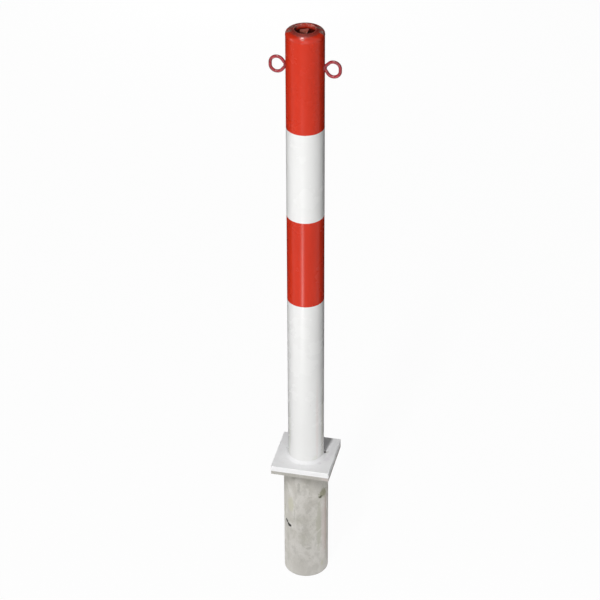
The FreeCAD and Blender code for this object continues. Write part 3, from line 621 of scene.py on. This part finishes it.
def makeGalvanised(name, stained):
    material, tree = newMaterial(name, galvanised["roughness"], specular=0.5)
    tones = galvanised["tones"]
    crystals = addNode(tree, "ShaderNodeTexVoronoi",
                       {"Scale": 120, "Vector": objectPoint(tree, (1, 1, 0.7))}, feature="F1")
    grains = addNode(tree, "ShaderNodeSeparateColor", {0: crystals.outputs["Color"]})
    paleness, shine = (Field(grain) for grain in grains.outputs[:2])
    clouds = fade(noise(tree, 30, 6, 0.62, 0.8, (1, 1, 0.7)), 0.38, 0.62)
    colour = blend(clouds, galvanised["zinc"], tones["pale"])
    streaks = fade(noise(tree, 75, 5, 0.65, 0.5, (1, 1, 0.55)), 0.47, 0.68)
    colour = blend(streaks * 0.42, colour, tones["dark"])
    drifts = fade(noise(tree, 12, 3, stretch=(1.2, 1.2, 1)), 0.5, 0.66)
    colour = blend(drifts * 0.4, colour, tones["greenish"])
    colour = blend(paleness * 0.16, colour, tones["pale"])
    fine = noise(tree, 420, 3, 0.6)
    colour = blend(fade(fine, 0.5, 0.75, 0, 0.35), colour, tones["dark"])
    if stained:
        lower = fade(heightAbove(tree, 0), galvanised["paleBelow"], sleeveBottom, 0, 0.45)
        colour = blend(lower, colour, tones["pale"])
        colour = addStainsAndPaintedLight(colour, galvanised["sleeveStains"], tones, sleeveRadius)
        rim = fade(heightAbove(tree, sleeveBottom), *galvanised["darkRim"], 0.5, 0)
        colour = blend(rim, colour, tones["dark"])
    else:
        colour = blend(1.0, colour, [galvanised["flange"]] * 3, "MULTIPLY")
        place, size = galvanised["flangeStain"]
        mask = patch(noise(tree, 200, 4), place, (0, 0, 0), size, soft=0.8)
        colour = blend(mask * 0.6, colour, tones["pink"])
    soft = bump(noise(tree, 90, 4), 0.0006)
    return setShader(material, {
        "Base Color": colour,
        "Diffuse Roughness": 1,
        "Roughness": fade(shine, 0, 1, 0.54, 0.72),
        "Normal": bump(fine, 0.00012, soft),
    })


# Lock parts: oiled steel, blackened spring steel, zinc plate and nylon

nylon = {"pale": (0.74, 0.71, 0.62), "deep": (0.66, 0.62, 0.52), "roughness": 0.5, "glow": 0.1}


def makeBareSteel(name, colour, worn, roughness, turning=0.0):
    material, tree = newMaterial(name, roughness, metallic=0.85, specular=0.5)
    cloudy = fade(noise(tree, 150, 5), 0.35, 0.7)
    gloss = noise(tree, 90, 4, stretch=(1, 1, 8))
    rough = noise(tree, 300, 3, stretch=(1, 1, 1 + 30 * turning))
    return setShader(material, {
        "Base Color": blend(cloudy, colour, worn),
        "Roughness": fade(gloss, 0.3, 0.75, roughness - 0.1, roughness + 0.12),
        "Normal": bump(rough, 0.00008),
    })


def makeNylon():
    material, tree = newMaterial("nylon", nylon["roughness"])
    cloudy = fade(noise(tree, 90, 4), 0.35, 0.7)
    return setShader(material, {
        "Base Color": blend(cloudy, nylon["pale"], nylon["deep"]),
        "Subsurface Weight": nylon["glow"],
        "Normal": bump(noise(tree, 500, 2), 0.00005),
    })


finishes = {
    "postPaint": makePostPaint(),
    "headPaint": makeHeadPaint(),
    "keyPaint": makeKeyPaint(),
    "eyePaint": makeEyePaint(),
    "platePaint": makePlatePaint(),
    "sleeveZinc": makeGalvanised("sleeveZinc", True),
    "flangeZinc": makeGalvanised("flangeZinc", False),
    "oiledSteel": makeBareSteel("oiledSteel", (0.26, 0.25, 0.24), (0.18, 0.16, 0.14), 0.5),
    "springSteel": makeBareSteel("springSteel", (0.1, 0.1, 0.11), (0.06, 0.06, 0.07), 0.35),
    "zincPlate": makeBareSteel("zincPlate", (0.58, 0.6, 0.62), (0.48, 0.49, 0.48), 0.36, 1.0),
    "nylon": makeNylon(),
}

nodeFinishes = {
    "postPaint": ("post_tube", "foot_disc", "foot_weld"),
    "headPaint": ("head_cap", "head_seam_weld", "key_collar"),
    "keyPaint": ("lock_spindle",),
    "eyePaint": ("chain_eye_left", "chain_eye_right", "eye_weld_left", "eye_weld_right"),
    "platePaint": ("base_plate", "base_weld_rear", "base_weld_front"),
    "sleeveZinc": ("ground_sleeve",),
    "flangeZinc": ("flange_plate", "flange_weld", "keeper_plate", "keeper_weld"),
    "oiledSteel": ("collar_weld", "bearing_disc", "stop_pin", "mid_guide_disc"),
    "springSteel": ("retaining_ring", "spindle_roll_pin"),
    "zincPlate": ("spindle_washer", "lock_rod", "latch_bar", "latch_washer", "latch_nut"),
    "nylon": ("mid_guide_bush", "foot_bush"),
}
for finish, names in nodeFinishes.items():
    for name in names:
        node = cadNodes[name]
        node.data.materials.clear()
        node.data.materials.append(finishes[finish])
print("materials made:", len(finishes))


# Pieces that follow a path or a surface, made with Geometry Nodes

growth = {"merge": 0.000002, "tiny": 0.000001, "sharpFrom": 60}


def newTree(name, numbers, **whole):
    # a tree with its named inputs; gives the tree, its inputs as fields, and its outlet
    kinds = {"Geometry": "Geometry", **dict.fromkeys(numbers, "Float"), **whole, "Material": "Material"}
    tree = bpy.data.node_groups.new(name, "GeometryNodeTree")
    for label, kind in kinds.items():
        tree.interface.new_socket(label, in_out="INPUT", socket_type="NodeSocket" + kind)
    tree.interface.new_socket("Geometry", in_out="OUTPUT", socket_type="NodeSocketGeometry")
    inlet = addNode(tree, "NodeGroupInput")
    given = {label: Field(inlet.outputs[label]) for label in kinds}
    return tree, given, addNode(tree, "NodeGroupOutput").inputs[0]


def finishTree(tree, made, given, outlet):
    # every tree ends in real geometry with its material
    real = addNode(tree, "GeometryNodeRealizeInstances", {0: made})
    painted = addNode(tree, "GeometryNodeSetMaterial",
                      {"Geometry": real.outputs[0], "Material": given["Material"]})
    connect(painted.outputs[0], outlet)
    return tree


def closeShell(shell, mesh, smooth, sharpFrom):
    # faces outward, smooth except at sharp corners
    bmesh.ops.recalc_face_normals(shell, faces=shell.faces)
    for face in shell.faces:
        face.smooth = smooth
    shell.to_mesh(mesh)
    shell.free()
    mesh.set_sharp_from_angle(angle=radians(sharpFrom))


def asInput(key):
    # rippleDepth gives Ripple Depth, the name of a tree's input
    return "".join(" " + letter if letter.isupper() else letter for letter in key).title()


def grow(name, tree, values, body, stands=(), source=None, smooth=True):
    # runs the tree once and keeps its result as a plain mesh
    values = {asInput(key): value for key, value in values.items()}
    piece = addObject(name, source or bpy.data.meshes.new(name))
    modifier = piece.modifiers.new("grow", "NODES")
    modifier.node_group = tree
    for item in tree.interface.items_tree:
        if item.in_out == "INPUT" and item.name in values:
            modifier[item.identifier] = values[item.name]
    bpy.context.view_layer.update()
    depsgraph = bpy.context.evaluated_depsgraph_get()
    made = bpy.data.meshes.new_from_object(piece.evaluated_get(depsgraph), depsgraph=depsgraph)
    made.name = name
    piece.modifiers.clear()
    piece.data = made
    shell = bmesh.new()
    shell.from_mesh(made)
    bmesh.ops.remove_doubles(shell, verts=shell.verts, dist=growth["merge"])
    bmesh.ops.dissolve_degenerate(shell, edges=shell.edges, dist=growth["tiny"])
    closeShell(shell, made, smooth, growth["sharpFrom"])
    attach(piece, body)
    if stands:
        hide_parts(*stands)
    print(name, "made:", len(made.polygons), "faces")


def position(tree):
    return split(tree, addNode(tree, "GeometryNodeInputPosition").outputs[0])


def scallops(phase):
    return maths("ABSOLUTE", maths("SINE", phase * pi))


# Fillet welds: a hollowed or flat bead in the corner of two round faces, with the ripples
# that each weld pass leaves, and ends that run out

filletForm = {
    "across": 12,  # steps over the face, then round the back
    "back": 3,
    "perRipple": 6,  # steps along each ripple
    "driftRate": 0.17,  # of the wander, per ripple
    "crescent": 4.4,  # how far the ripples bow and sway
    "sway": 2.2,
    "sunk": 0.0003,  # how deep the back lies in both parts
}


def makeFilletTree():
    tree, given, outlet = newTree("filletBead", (
        "Corner Radius", "Corner Height", "Leg", "Hollow", "Outward", "Upward", "From Angle", "Sweep",
        "Ripples", "Ripple Depth", "Wander", "Run Out", "Closed", "Seed"), Steps="Int")
    rows = filletForm["across"] + filletForm["back"]
    grid = addNode(tree, "GeometryNodeMeshGrid", {
        "Size X": 1, "Size Y": 1, "Vertices X": given["Steps"], "Vertices Y": rows + 1})
    x, y, _ = position(tree)
    along = x + 0.5
    around = maths("FLOORED_MODULO", y + 0.50001, 1)  # last row falls on the first
    share = filletForm["across"] / rows
    face = maths("DIVIDE", around, share, clamp=True)
    back = maths("DIVIDE", around - share, 1 - share, clamp=True)
    onBack = maths("GREATER_THAN", around, share + 0.001)

    # the bead's size wanders along the seam
    drift = addNode(tree, "ShaderNodeTexNoise", {
        "W": along * (given["Ripples"] * filletForm["driftRate"]) + given["Seed"], "Scale": 1,
        "Detail": 3}, noise_dimensions="1D")
    drifting = (Field(drift.outputs["Fac"]) - 0.5) * (1 - given["Closed"])
    leg = given["Leg"] * (drifting * given["Wander"] + 1)

    # crescent ripples, deepest in the middle of the bead; 0.7071 sets them square to its face
    middle = face - 0.5
    phase = (along * given["Ripples"] + middle * middle * filletForm["crescent"]
             + drifting * filletForm["sway"])
    bulge = face * (1 - face) * 4
    ripple = (scallops(phase) - 0.6) * given["Ripple Depth"] * maths("SQRT", bulge)
    lift = (ripple - given["Hollow"] * bulge) * 0.7071
    faceAcross = leg * (1 - face) + lift
    faceUp = leg * face + lift

    # the back sinks a little into both parts
    sunk = filletForm["sunk"]
    halfBack = back * 2
    backUp = largest(1 - halfBack, 0) * (leg + sunk) - sunk
    backAcross = largest(halfBack - 1, 0) * (leg + sunk) - sunk
    across = faceAcross * (1 - onBack) + backAcross * onBack
    up = faceUp * (1 - onBack) + backUp * onBack

    # rounded ends, unless the bead runs all the way round
    fromEnd = maths("MINIMUM", along, 1 - along)
    short = 1 - maths("DIVIDE", fromEnd * given["Ripples"], given["Run Out"], clamp=True)
    full = largest(maths("SQRT", 1 - short * short), given["Closed"])

    angle = along * given["Sweep"] + given["From Angle"]
    radius = across * full * given["Outward"] + given["Corner Radius"]
    height = up * full * given["Upward"] + given["Corner Height"]
    moved = addNode(tree, "GeometryNodeSetPosition", {
        "Geometry": grid.outputs["Mesh"],
        "Position": join(radius * maths("COSINE", angle), radius * maths("SINE", angle), height)})
    closed = addNode(tree, "GeometryNodeMergeByDistance",
                     {"Geometry": moved.outputs[0], "Distance": growth["merge"]})
    return finishTree(tree, closed.outputs[0], given, outlet)


footBead = {
    "leg": 0.006,
    "hollow": 0.00106,
    "gapsAt": (13, 174),  # degrees; the bead is left open here
    "gap": 9,
    "ripple": 0.0017,  # pitch
    "rippleDepth": 0.00015,
    "wander": 0.16,
    "runOut": 2.0,  # ripples
}
innerBead = {"ripple": 0.0019, "rippleDepth": 0.0002, "hollow": -0.0002, "wander": 0.0,
             "runOut": 1.0, "legShare": 0.96}
innerBeads = {
    # corner radius, leg, node, body, slot, finish
    "footDiscBead": (0.03515, 0.004, "foot_weld", "post", "post_paint", "postPaint"),
    "keeperBead": (0.0435, None, "keeper_weld", "sleeve", "galvanised_steel", "flangeZinc"),
}


def makeFilletBeads():
    tree = makeFilletTree()
    right, left = footBead["gapsAt"]
    half = footBead["gap"] / 2
    spans = {"footBeadRear": (right + half, left - half, "base_weld_rear"),
             "footBeadFront": (left + half, 360 + right - half, "base_weld_front")}
    for index, (name, (start, end, node)) in enumerate(spans.items()):
        sweep = radians(end - start)
        ripples = round(sweep * (postRadius + footBead["leg"] / 2) / footBead["ripple"])
        grow(name, tree, {
            **footBead, "cornerRadius": postRadius, "cornerHeight": plateTop, "outward": 1.0,
            "upward": 1.0, "fromAngle": radians(start), "sweep": sweep, "closed": 0.0,
            "ripples": float(ripples), "steps": ripples * filletForm["perRipple"] + 1,
            "seed": 3.7 + 5 * index, "material": finishes["platePaint"]},
            "post", (node,))
    for index, (name, (radius, leg, node, body, slot, finish)) in enumerate(innerBeads.items()):
        low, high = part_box(node)
        leg = leg or high.z - low.z
        ripples = round(2 * pi * radius / innerBead["ripple"])
        grow(name, tree, {
            **innerBead, "cornerRadius": radius, "cornerHeight": high.z,
            "leg": leg * innerBead["legShare"], "outward": -1.0, "upward": -1.0,
            "fromAngle": 0.4 + index, "sweep": 2 * pi, "closed": 1.0,
            "ripples": float(ripples), "steps": ripples * filletForm["perRipple"] + 1,
            "seed": 11.3 + 5 * index, "material": finishes[finish]}, body, (node,))


# Welds that hold the chain eyes: a low lump of weld round each rod, with its ripples

eyeBead = {
    "reach": 0.0046,
    "spread": 0.0066,
    "ripples": 17.0,
    "rippleDepth": 0.00032,
    "crescent": 2.6,  # how far the ripples bow
    "lumps": 0.0009,
    "lumpScale": 1.7,
    "sunk": 0.0004,  # how deep the back lies in the post
}


def makeRootTree():
    tree, given, outlet = newTree("rootBead", (
        "Post Radius", "Reach", "Spread", "Level", "Side", "Ripples", "Ripple Depth", "Lumps", "Seed"))
    ball = addNode(tree, "GeometryNodeMeshIcoSphere", {"Radius": 1, "Subdivisions": 5})
    x, y, z = position(tree)
    reach, spread = given["Reach"], given["Spread"]
    size = (reach * reach + spread * spread) / (reach * 2)
    turn = maths("ARCTAN2", z, y)
    outer = maths("SQRT", y * y + z * z)
    phase = turn * (given["Ripples"] / (2 * pi)) + outer * outer * eyeBead["crescent"]
    ripple = (scallops(phase) - 0.64) * given["Ripple Depth"] * fade(outer, 0.25, 0.6)
    lumpy = addNode(tree, "ShaderNodeTexNoise", {
        "Vector": join(x, y, z), "W": given["Seed"], "Scale": eyeBead["lumpScale"], "Detail": 2},
        noise_dimensions="4D")
    swell = size + ripple + (Field(lumpy.outputs["Fac"]) - 0.55) * given["Lumps"]
    newX = x * swell + (given["Post Radius"] + reach - size)
    newY = y * swell
    # what would lie inside the post is drawn up to just under its face
    inside = given["Post Radius"] - eyeBead["sunk"]
    floorX = maths("SQRT", inside * inside - newY * newY)
    moved = addNode(tree, "GeometryNodeSetPosition", {
        "Geometry": ball.outputs["Mesh"],
        "Position": join(largest(newX, floorX) * given["Side"], newY, z * swell + given["Level"])})
    return finishTree(tree, moved.outputs[0], given, outlet)


def makeEyeBeads():
    tree = makeRootTree()
    sides = {"eyeBeadRight": (1, "eye_weld_right"), "eyeBeadLeft": (-1, "eye_weld_left")}
    for name, (side, node) in sides.items():
        low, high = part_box(node)
        grow(name, tree, {
            **eyeBead, "postRadius": postRadius, "level": (low.z + high.z) / 2, "side": float(side),
            "seed": 2.0 + 3 * side, "material": finishes["eyePaint"]}, "post", (node,))


# Weld spatter under the paint: small domes scattered round the beads

spatter = {
    "smallest": 0.00022,
    "largest": 0.00075,
    "flatness": 0.5,
    "segments": 8,
    "rings": 5,
    "plateBand": (0.001, 0.014),  # out from the bead's foot
    "footBand": (0.044, 0.008),  # above the cover plate
    "eyeReach": 0.022,  # above and below the eyes
}


def makeSpatterTree():
    tree, given, outlet = newTree("spatter", ("Density", "Smallest", "Largest", "Flatness"), Seed="Int")
    scatter = addNode(tree, "GeometryNodeDistributePointsOnFaces", {
        "Mesh": given["Geometry"], "Density": given["Density"], "Seed": given["Seed"]},
        distribute_method="RANDOM")
    drop = addNode(tree, "GeometryNodeMeshUVSphere", {
        "Radius": 1, "Segments": spatter["segments"], "Rings": spatter["rings"]})
    chance = addNode(tree, "FunctionNodeRandomValue", {"Seed": given["Seed"]}, data_type="FLOAT")
    small = maths("POWER", Field(chance.outputs[1]), 3)  # mostly fine drops
    size = small * (given["Largest"] - given["Smallest"]) + given["Smallest"]
    placed = addNode(tree, "GeometryNodeInstanceOnPoints", {
        "Points": scatter.outputs["Points"], "Instance": drop.outputs["Mesh"],
        "Rotation": scatter.outputs["Rotation"], "Scale": join(size, size, size * given["Flatness"])})
    return finishTree(tree, placed.outputs[0], given, outlet)


def ringMesh(name, first, second, steps=48):
    # a band between two circles, each given by its radius and height
    corners, faces = [], []
    for step in range(steps):
        corners += [onTube(radius, 360 * step / steps, level) for radius, level in (first, second)]
        a, b = 2 * step, 2 * ((step + 1) % steps)
        faces.append((a, a + 1, b + 1, b))
    mesh = bpy.data.meshes.new(name)
    mesh.from_pydata(corners, [], faces)
    return mesh


def makeSpatter():
    tree = makeSpatterTree()
    beadFoot = postRadius + footBead["leg"]
    low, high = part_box("eye_weld_right")
    eyeLevel, eyeReach = (low.z + high.z) / 2, spatter["eyeReach"]
    near, far = (beadFoot + reach for reach in spatter["plateBand"])
    upper, lower = (plateTop + height for height in spatter["footBand"])
    grounds = {
        # name: band's name and edges, drops a square metre, seed, finish, slot
        "plateSpatter": ("nearBead", (near, plateTop), (far, plateTop),
                         11000.0, 5, "platePaint", "white_paint"),
        "footSpatter": ("overBead", (postRadius, upper), (postRadius, lower),
                        5200.0, 9, "postPaint", "post_paint"),
        "eyeSpatter": ("roundEyes", (postRadius, eyeLevel + eyeReach),
                       (postRadius, eyeLevel - eyeReach), 2600.0, 4, "postPaint", "post_paint"),
    }
    for name, (*band, density, seed, finish, slot) in grounds.items():
        grow(name, tree, {**spatter, "density": density, "seed": seed, "material": finishes[finish]},
             "post", source=ringMesh(*band))


# Screw thread on the stud below the latch nut

studThread = {"pitch": 0.0015, "crest": 0.00495, "depth": 0.00055, "around": 40, "start": 0.0008,
              "runOut": 0.0009}


def makeThread():
    tree, given, outlet = newTree("studThread", ("Turns", "Height", "Crest", "Depth", "Foot"))
    radius = given["Crest"] - given["Depth"] * 0.5
    spiral = addNode(tree, "GeometryNodeCurveSpiral", {
        "Resolution": studThread["around"], "Rotations": given["Turns"], "Start Radius": radius,
        "End Radius": radius, "Height": given["Height"]})
    lifted = addNode(tree, "GeometryNodeTransform", {
        "Geometry": spiral.outputs[0], "Translation": join(0, 0, given["Foot"])})
    ridge = addNode(tree, "GeometryNodeCurvePrimitiveCircle", {
        "Resolution": 4, "Radius": given["Depth"]})
    swept = addNode(tree, "GeometryNodeCurveToMesh", {
        "Curve": lifted.outputs[0], "Profile Curve": ridge.outputs[0], "Fill Caps": True})
    finishTree(tree, swept.outputs[0], given, outlet)
    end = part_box("lock_rod")[0].z
    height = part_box("latch_nut")[0].z - end - studThread["runOut"]
    grow("studThread", tree, {
        **studThread, "turns": height / studThread["pitch"], "height": height,
        "foot": end + studThread["start"], "material": finishes["zincPlate"]},
        "lock", smooth=False)


# Head and collar turned with finer steps than the frame's, so that lamps run smoothly over them

headShape = {"wall": 0.0029, "bore": 0.03515, "knuckle": 0.006, "crown": 0.09, "around": 144,
             "sharpFrom": 40, "arcSteps": (20, 10, 6), "seamSteps": 8}
collarShape = {"outer": 0.02415, "bore": 0.02095, "lip": 0.0008, "rise": 0.0012, "arcSteps": 8}


def arc(centre, radius, start, end, steps):
    angles = (start + (end - start) * step / steps for step in range(steps + 1))
    return [(centre[0] + radius * cos(angle), centre[1] + radius * sin(angle)) for angle in angles]


def turnOnLathe(name, outline, node):
    # a closed outline of radius and height, turned round the post's axis
    count, around = len(outline), headShape["around"]
    corners = [onTube(radius, 360 * step / around, level)
               for step in range(around) for radius, level in outline]
    faces = []
    for step in range(around):
        here, there = step * count, (step + 1) % around * count
        for index in range(count):
            after = (index + 1) % count
            faces.append((here + index, here + after, there + after, there + index))
    mesh = bpy.data.meshes.new(name)
    mesh.from_pydata(corners, [], faces)
    shell = bmesh.new()
    shell.from_mesh(mesh)
    closeShell(shell, mesh, True, headShape["sharpFrom"])
    mesh.materials.append(finishes["headPaint"])
    piece = addObject(name, mesh)
    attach(piece, "post")
    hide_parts(node)


def makeHead():
    bore, knuckle, crown = headShape["bore"], headShape["knuckle"], headShape["crown"]
    outer, lip = collarShape["outer"], collarShape["lip"]
    domeEdge = rimTop - collarShape["rise"]
    crownCentre = domeEdge - sqrt(crown ** 2 - outer ** 2)
    offset = postRadius - knuckle
    rise = sqrt((crown - knuckle) ** 2 - offset ** 2)
    meets = atan2(rise, offset)
    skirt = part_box("head_cap")[0].z
    inner = crown - headShape["wall"]
    edge = atan2(domeEdge - crownCentre, outer)
    kneeSteps, crownSteps, innerSteps = headShape["arcSteps"]
    outline = [(bore, skirt), (postRadius, skirt)]
    outline += arc((offset, crownCentre + rise), knuckle, 0, meets, kneeSteps)
    outline += arc((0, crownCentre), crown, meets, edge, crownSteps)[1:]
    outline += arc((0, crownCentre), inner, acos(outer / inner), acos(bore / inner), innerSteps)
    turnOnLathe("headCap", outline, "head_cap")

    inside, steps = collarShape["bore"], collarShape["arcSteps"]
    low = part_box("key_collar")[0].z
    outline = [(inside, low), (outer, low)]
    outline += arc((outer - lip, rimTop - lip), lip, 0, pi / 2, steps)
    outline += arc((inside + lip, rimTop - lip), lip, pi / 2, pi, steps)
    turnOnLathe("keyCollar", outline, "key_collar")


def makeSeam():
    # the ground bead of the butt weld under the head
    bore, steps = headShape["bore"], headShape["seamSteps"]
    low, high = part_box("head_seam_weld")
    middle, half, proud = (low.z + high.z) / 2, (high.z - low.z) / 2, high.x - postRadius
    shares = [step / steps for step in range(1 - steps, steps)]
    rounded = [(postRadius + proud * cos(pi / 2 * share) ** 2, middle + half * share)
               for share in shares]
    outline = [(bore, low.z), (postRadius, low.z), *rounded, (postRadius, high.z), (bore, high.z)]
    turnOnLathe("headSeam", outline, "head_seam_weld")


makeHead()
makeSeam()
makeFilletBeads()
makeEyeBeads()
makeSpatter()
makeThread()
print("beads, spatter and thread made")


# Floor, world and lamps

studio = {
    "floorReach": 14,
    "floorGap": 0.0002,  # below the sleeve
    "floorTone": 0.8,
    "whiteShare": 0.965,  # how much of the floor that the camera sees is plain white
    "ambient": 0.035,
}


def whereSeen(tree):
    # 1 for the rays that show floor and world, 0 for the light that these throw
    path = addNode(tree, "ShaderNodeLightPath").outputs
    return largest(*(Field(path[f"Is {kind} Ray"]) for kind in ("Camera", "Glossy", "Transmission")))


def makeFloor():
    reach, level = studio["floorReach"], sleeveBottom - studio["floorGap"]
    sides = ((-reach, -reach), (reach, -reach), (reach, reach), (-reach, reach))
    mesh = bpy.data.meshes.new("floor")
    mesh.from_pydata([(x, y, level) for x, y in sides], [], [(0, 1, 2, 3)])
    floor = addObject("floor", mesh)
    material = bpy.data.materials.new("floorPaper")
    material.use_nodes = True
    tree = material.node_tree
    tree.nodes.clear()
    diffuse = addNode(tree, "ShaderNodeBsdfDiffuse", {"Color": (*[studio["floorTone"]] * 3, 1)})
    glow = addNode(tree, "ShaderNodeEmission", {"Color": (1, 1, 1, 1)})
    share = whereSeen(tree) * studio["whiteShare"]
    mix = addNode(tree, "ShaderNodeMixShader", {0: share, 1: diffuse.outputs[0], 2: glow.outputs[0]})
    addNode(tree, "ShaderNodeOutputMaterial", {0: mix.outputs[0]})
    mesh.materials.append(material)


def makeWorld():
    world = bpy.data.worlds.new("studioWorld")
    bpy.context.scene.world = world
    world.use_nodes = True
    tree = world.node_tree
    background = tree.nodes["Background"]
    background.inputs["Color"].default_value = (1, 1, 1, 1)
    connect(fade(whereSeen(tree), 0, 1, studio["ambient"], 1), background.inputs["Strength"])


lamps = {
    # name: angle from the camera's side and height in degrees, distance, height aimed at,
    # width, length, watts
    "keyLamp": (-19, 54, 5.0, 0.4, 0.34, 1.8, 158),
    "lowLamp": (4, 12, 3.2, 0.38, 1.5, 1.5, 27),
    "sideLamp": (-82, 10, 3.2, 0.2, 1.2, 1.2, 17),
    "footLamp": (78, 4, 0.9, -0.17, 0.3, 0.16, 0.22),
    "backLamp": (184, 2, 3.2, 0.45, 0.9, 1.4, 20),
}
footSpread = 60  # degrees, so that the foot lamp reaches the sleeve and not the bands
glints = {
    # small lamps that only glossy paint shows
    "upperGlint": (14, 111, 3.2, 1.0, 0.3, 0.09, 9),
    "lowerGlint": (27, 105, 3.2, 1.0, 0.5, 0.09, 11),
}
glowStrip = {
    "angle": -19,  # from the camera's side
    "near": 0.92,  # lies on the floor from here
    "far": 1.62,  # to here
    "lift": 0.004,
    "width": 0.2,
    "watts": 6.2,
}
darkTent = {
    "reach": 3.6,  # black cloth round the back of the post, which only reflections meet
    "top": 72,  # degrees above level
    "tone": 0.03,
    "lift": 0.0006,  # above the floor
    "around": 24,
    "upward": 8,
}


def directionAt(angle):
    # level direction at an angle from the camera's side, positive to the right
    return Vector(onTube(1, angle - 90 + camera["azimuth"], 0))


def addLamp(name, place, aim, width, length, watts):
    data = bpy.data.lights.new(name, "AREA")
    data.shape = "RECTANGLE"
    data.size = width
    data.size_y = length
    data.energy = watts
    lamp = addObject(name, data)
    lamp.location = place
    lamp.rotation_euler = (aim - place).to_track_quat("-Z", "Y").to_euler()
    lamp.visible_camera = False
    return lamp


def makeLamps():
    up = Vector((0, 0, 1))
    for name, (angle, height, distance, level, width, length, watts) in {**lamps, **glints}.items():
        aim = level * up
        raised = radians(height)
        place = aim + distance * (directionAt(angle) * cos(raised) + sin(raised) * up)
        lamp = addLamp(name, place, aim, width, length, watts)
        lamp.visible_diffuse = name not in glints
        lamp.visible_glossy = name != "backLamp"
        if name == "footLamp":
            lamp.data.spread = radians(footSpread)
    outward = directionAt(glowStrip["angle"])
    near, far = glowStrip["near"], glowStrip["far"]
    place = outward * (near + far) / 2 + (sleeveBottom + glowStrip["lift"]) * up
    strip = addLamp("glowStrip", place, place + up, glowStrip["width"], far - near, glowStrip["watts"])
    strip.rotation_euler = Matrix((outward.cross(up), outward, -up)).transposed().to_euler()


def makeDarkTent():
    # keeps the post's sides and its dome from mirroring white floor and wall behind them
    around, upward = darkTent["around"], darkTent["upward"]
    low = Vector((0, 0, sleeveBottom + darkTent["lift"]))
    corners = []
    for level in range(upward + 1):
        raised = radians(darkTent["top"]) * level / upward
        for step in range(around + 1):
            outward = directionAt(90 + 180 * step / around) * cos(raised)
            corners.append(low + darkTent["reach"] * (outward + Vector((0, 0, sin(raised)))))
    row = around + 1
    faces = [(start, start + 1, start + row + 1, start + row)
             for level in range(upward) for start in range(level * row, level * row + around)]
    faces.append(tuple(range(row)))
    mesh = bpy.data.meshes.new("darkTent")
    mesh.from_pydata(corners, [], faces)
    tent = addObject("darkTent", mesh)
    material, _ = newMaterial("blackCloth", 1, specular=0.5)
    setShader(material, {"Base Color": (*[darkTent["tone"]] * 3, 1)})
    mesh.materials.append(material)
    tent.visible_camera = False
    tent.visible_diffuse = False
    tent.visible_shadow = False


makeFloor()
makeWorld()
makeLamps()
makeDarkTent()
bpy.context.scene.view_settings.view_transform = "Standard"
print("studio ready")
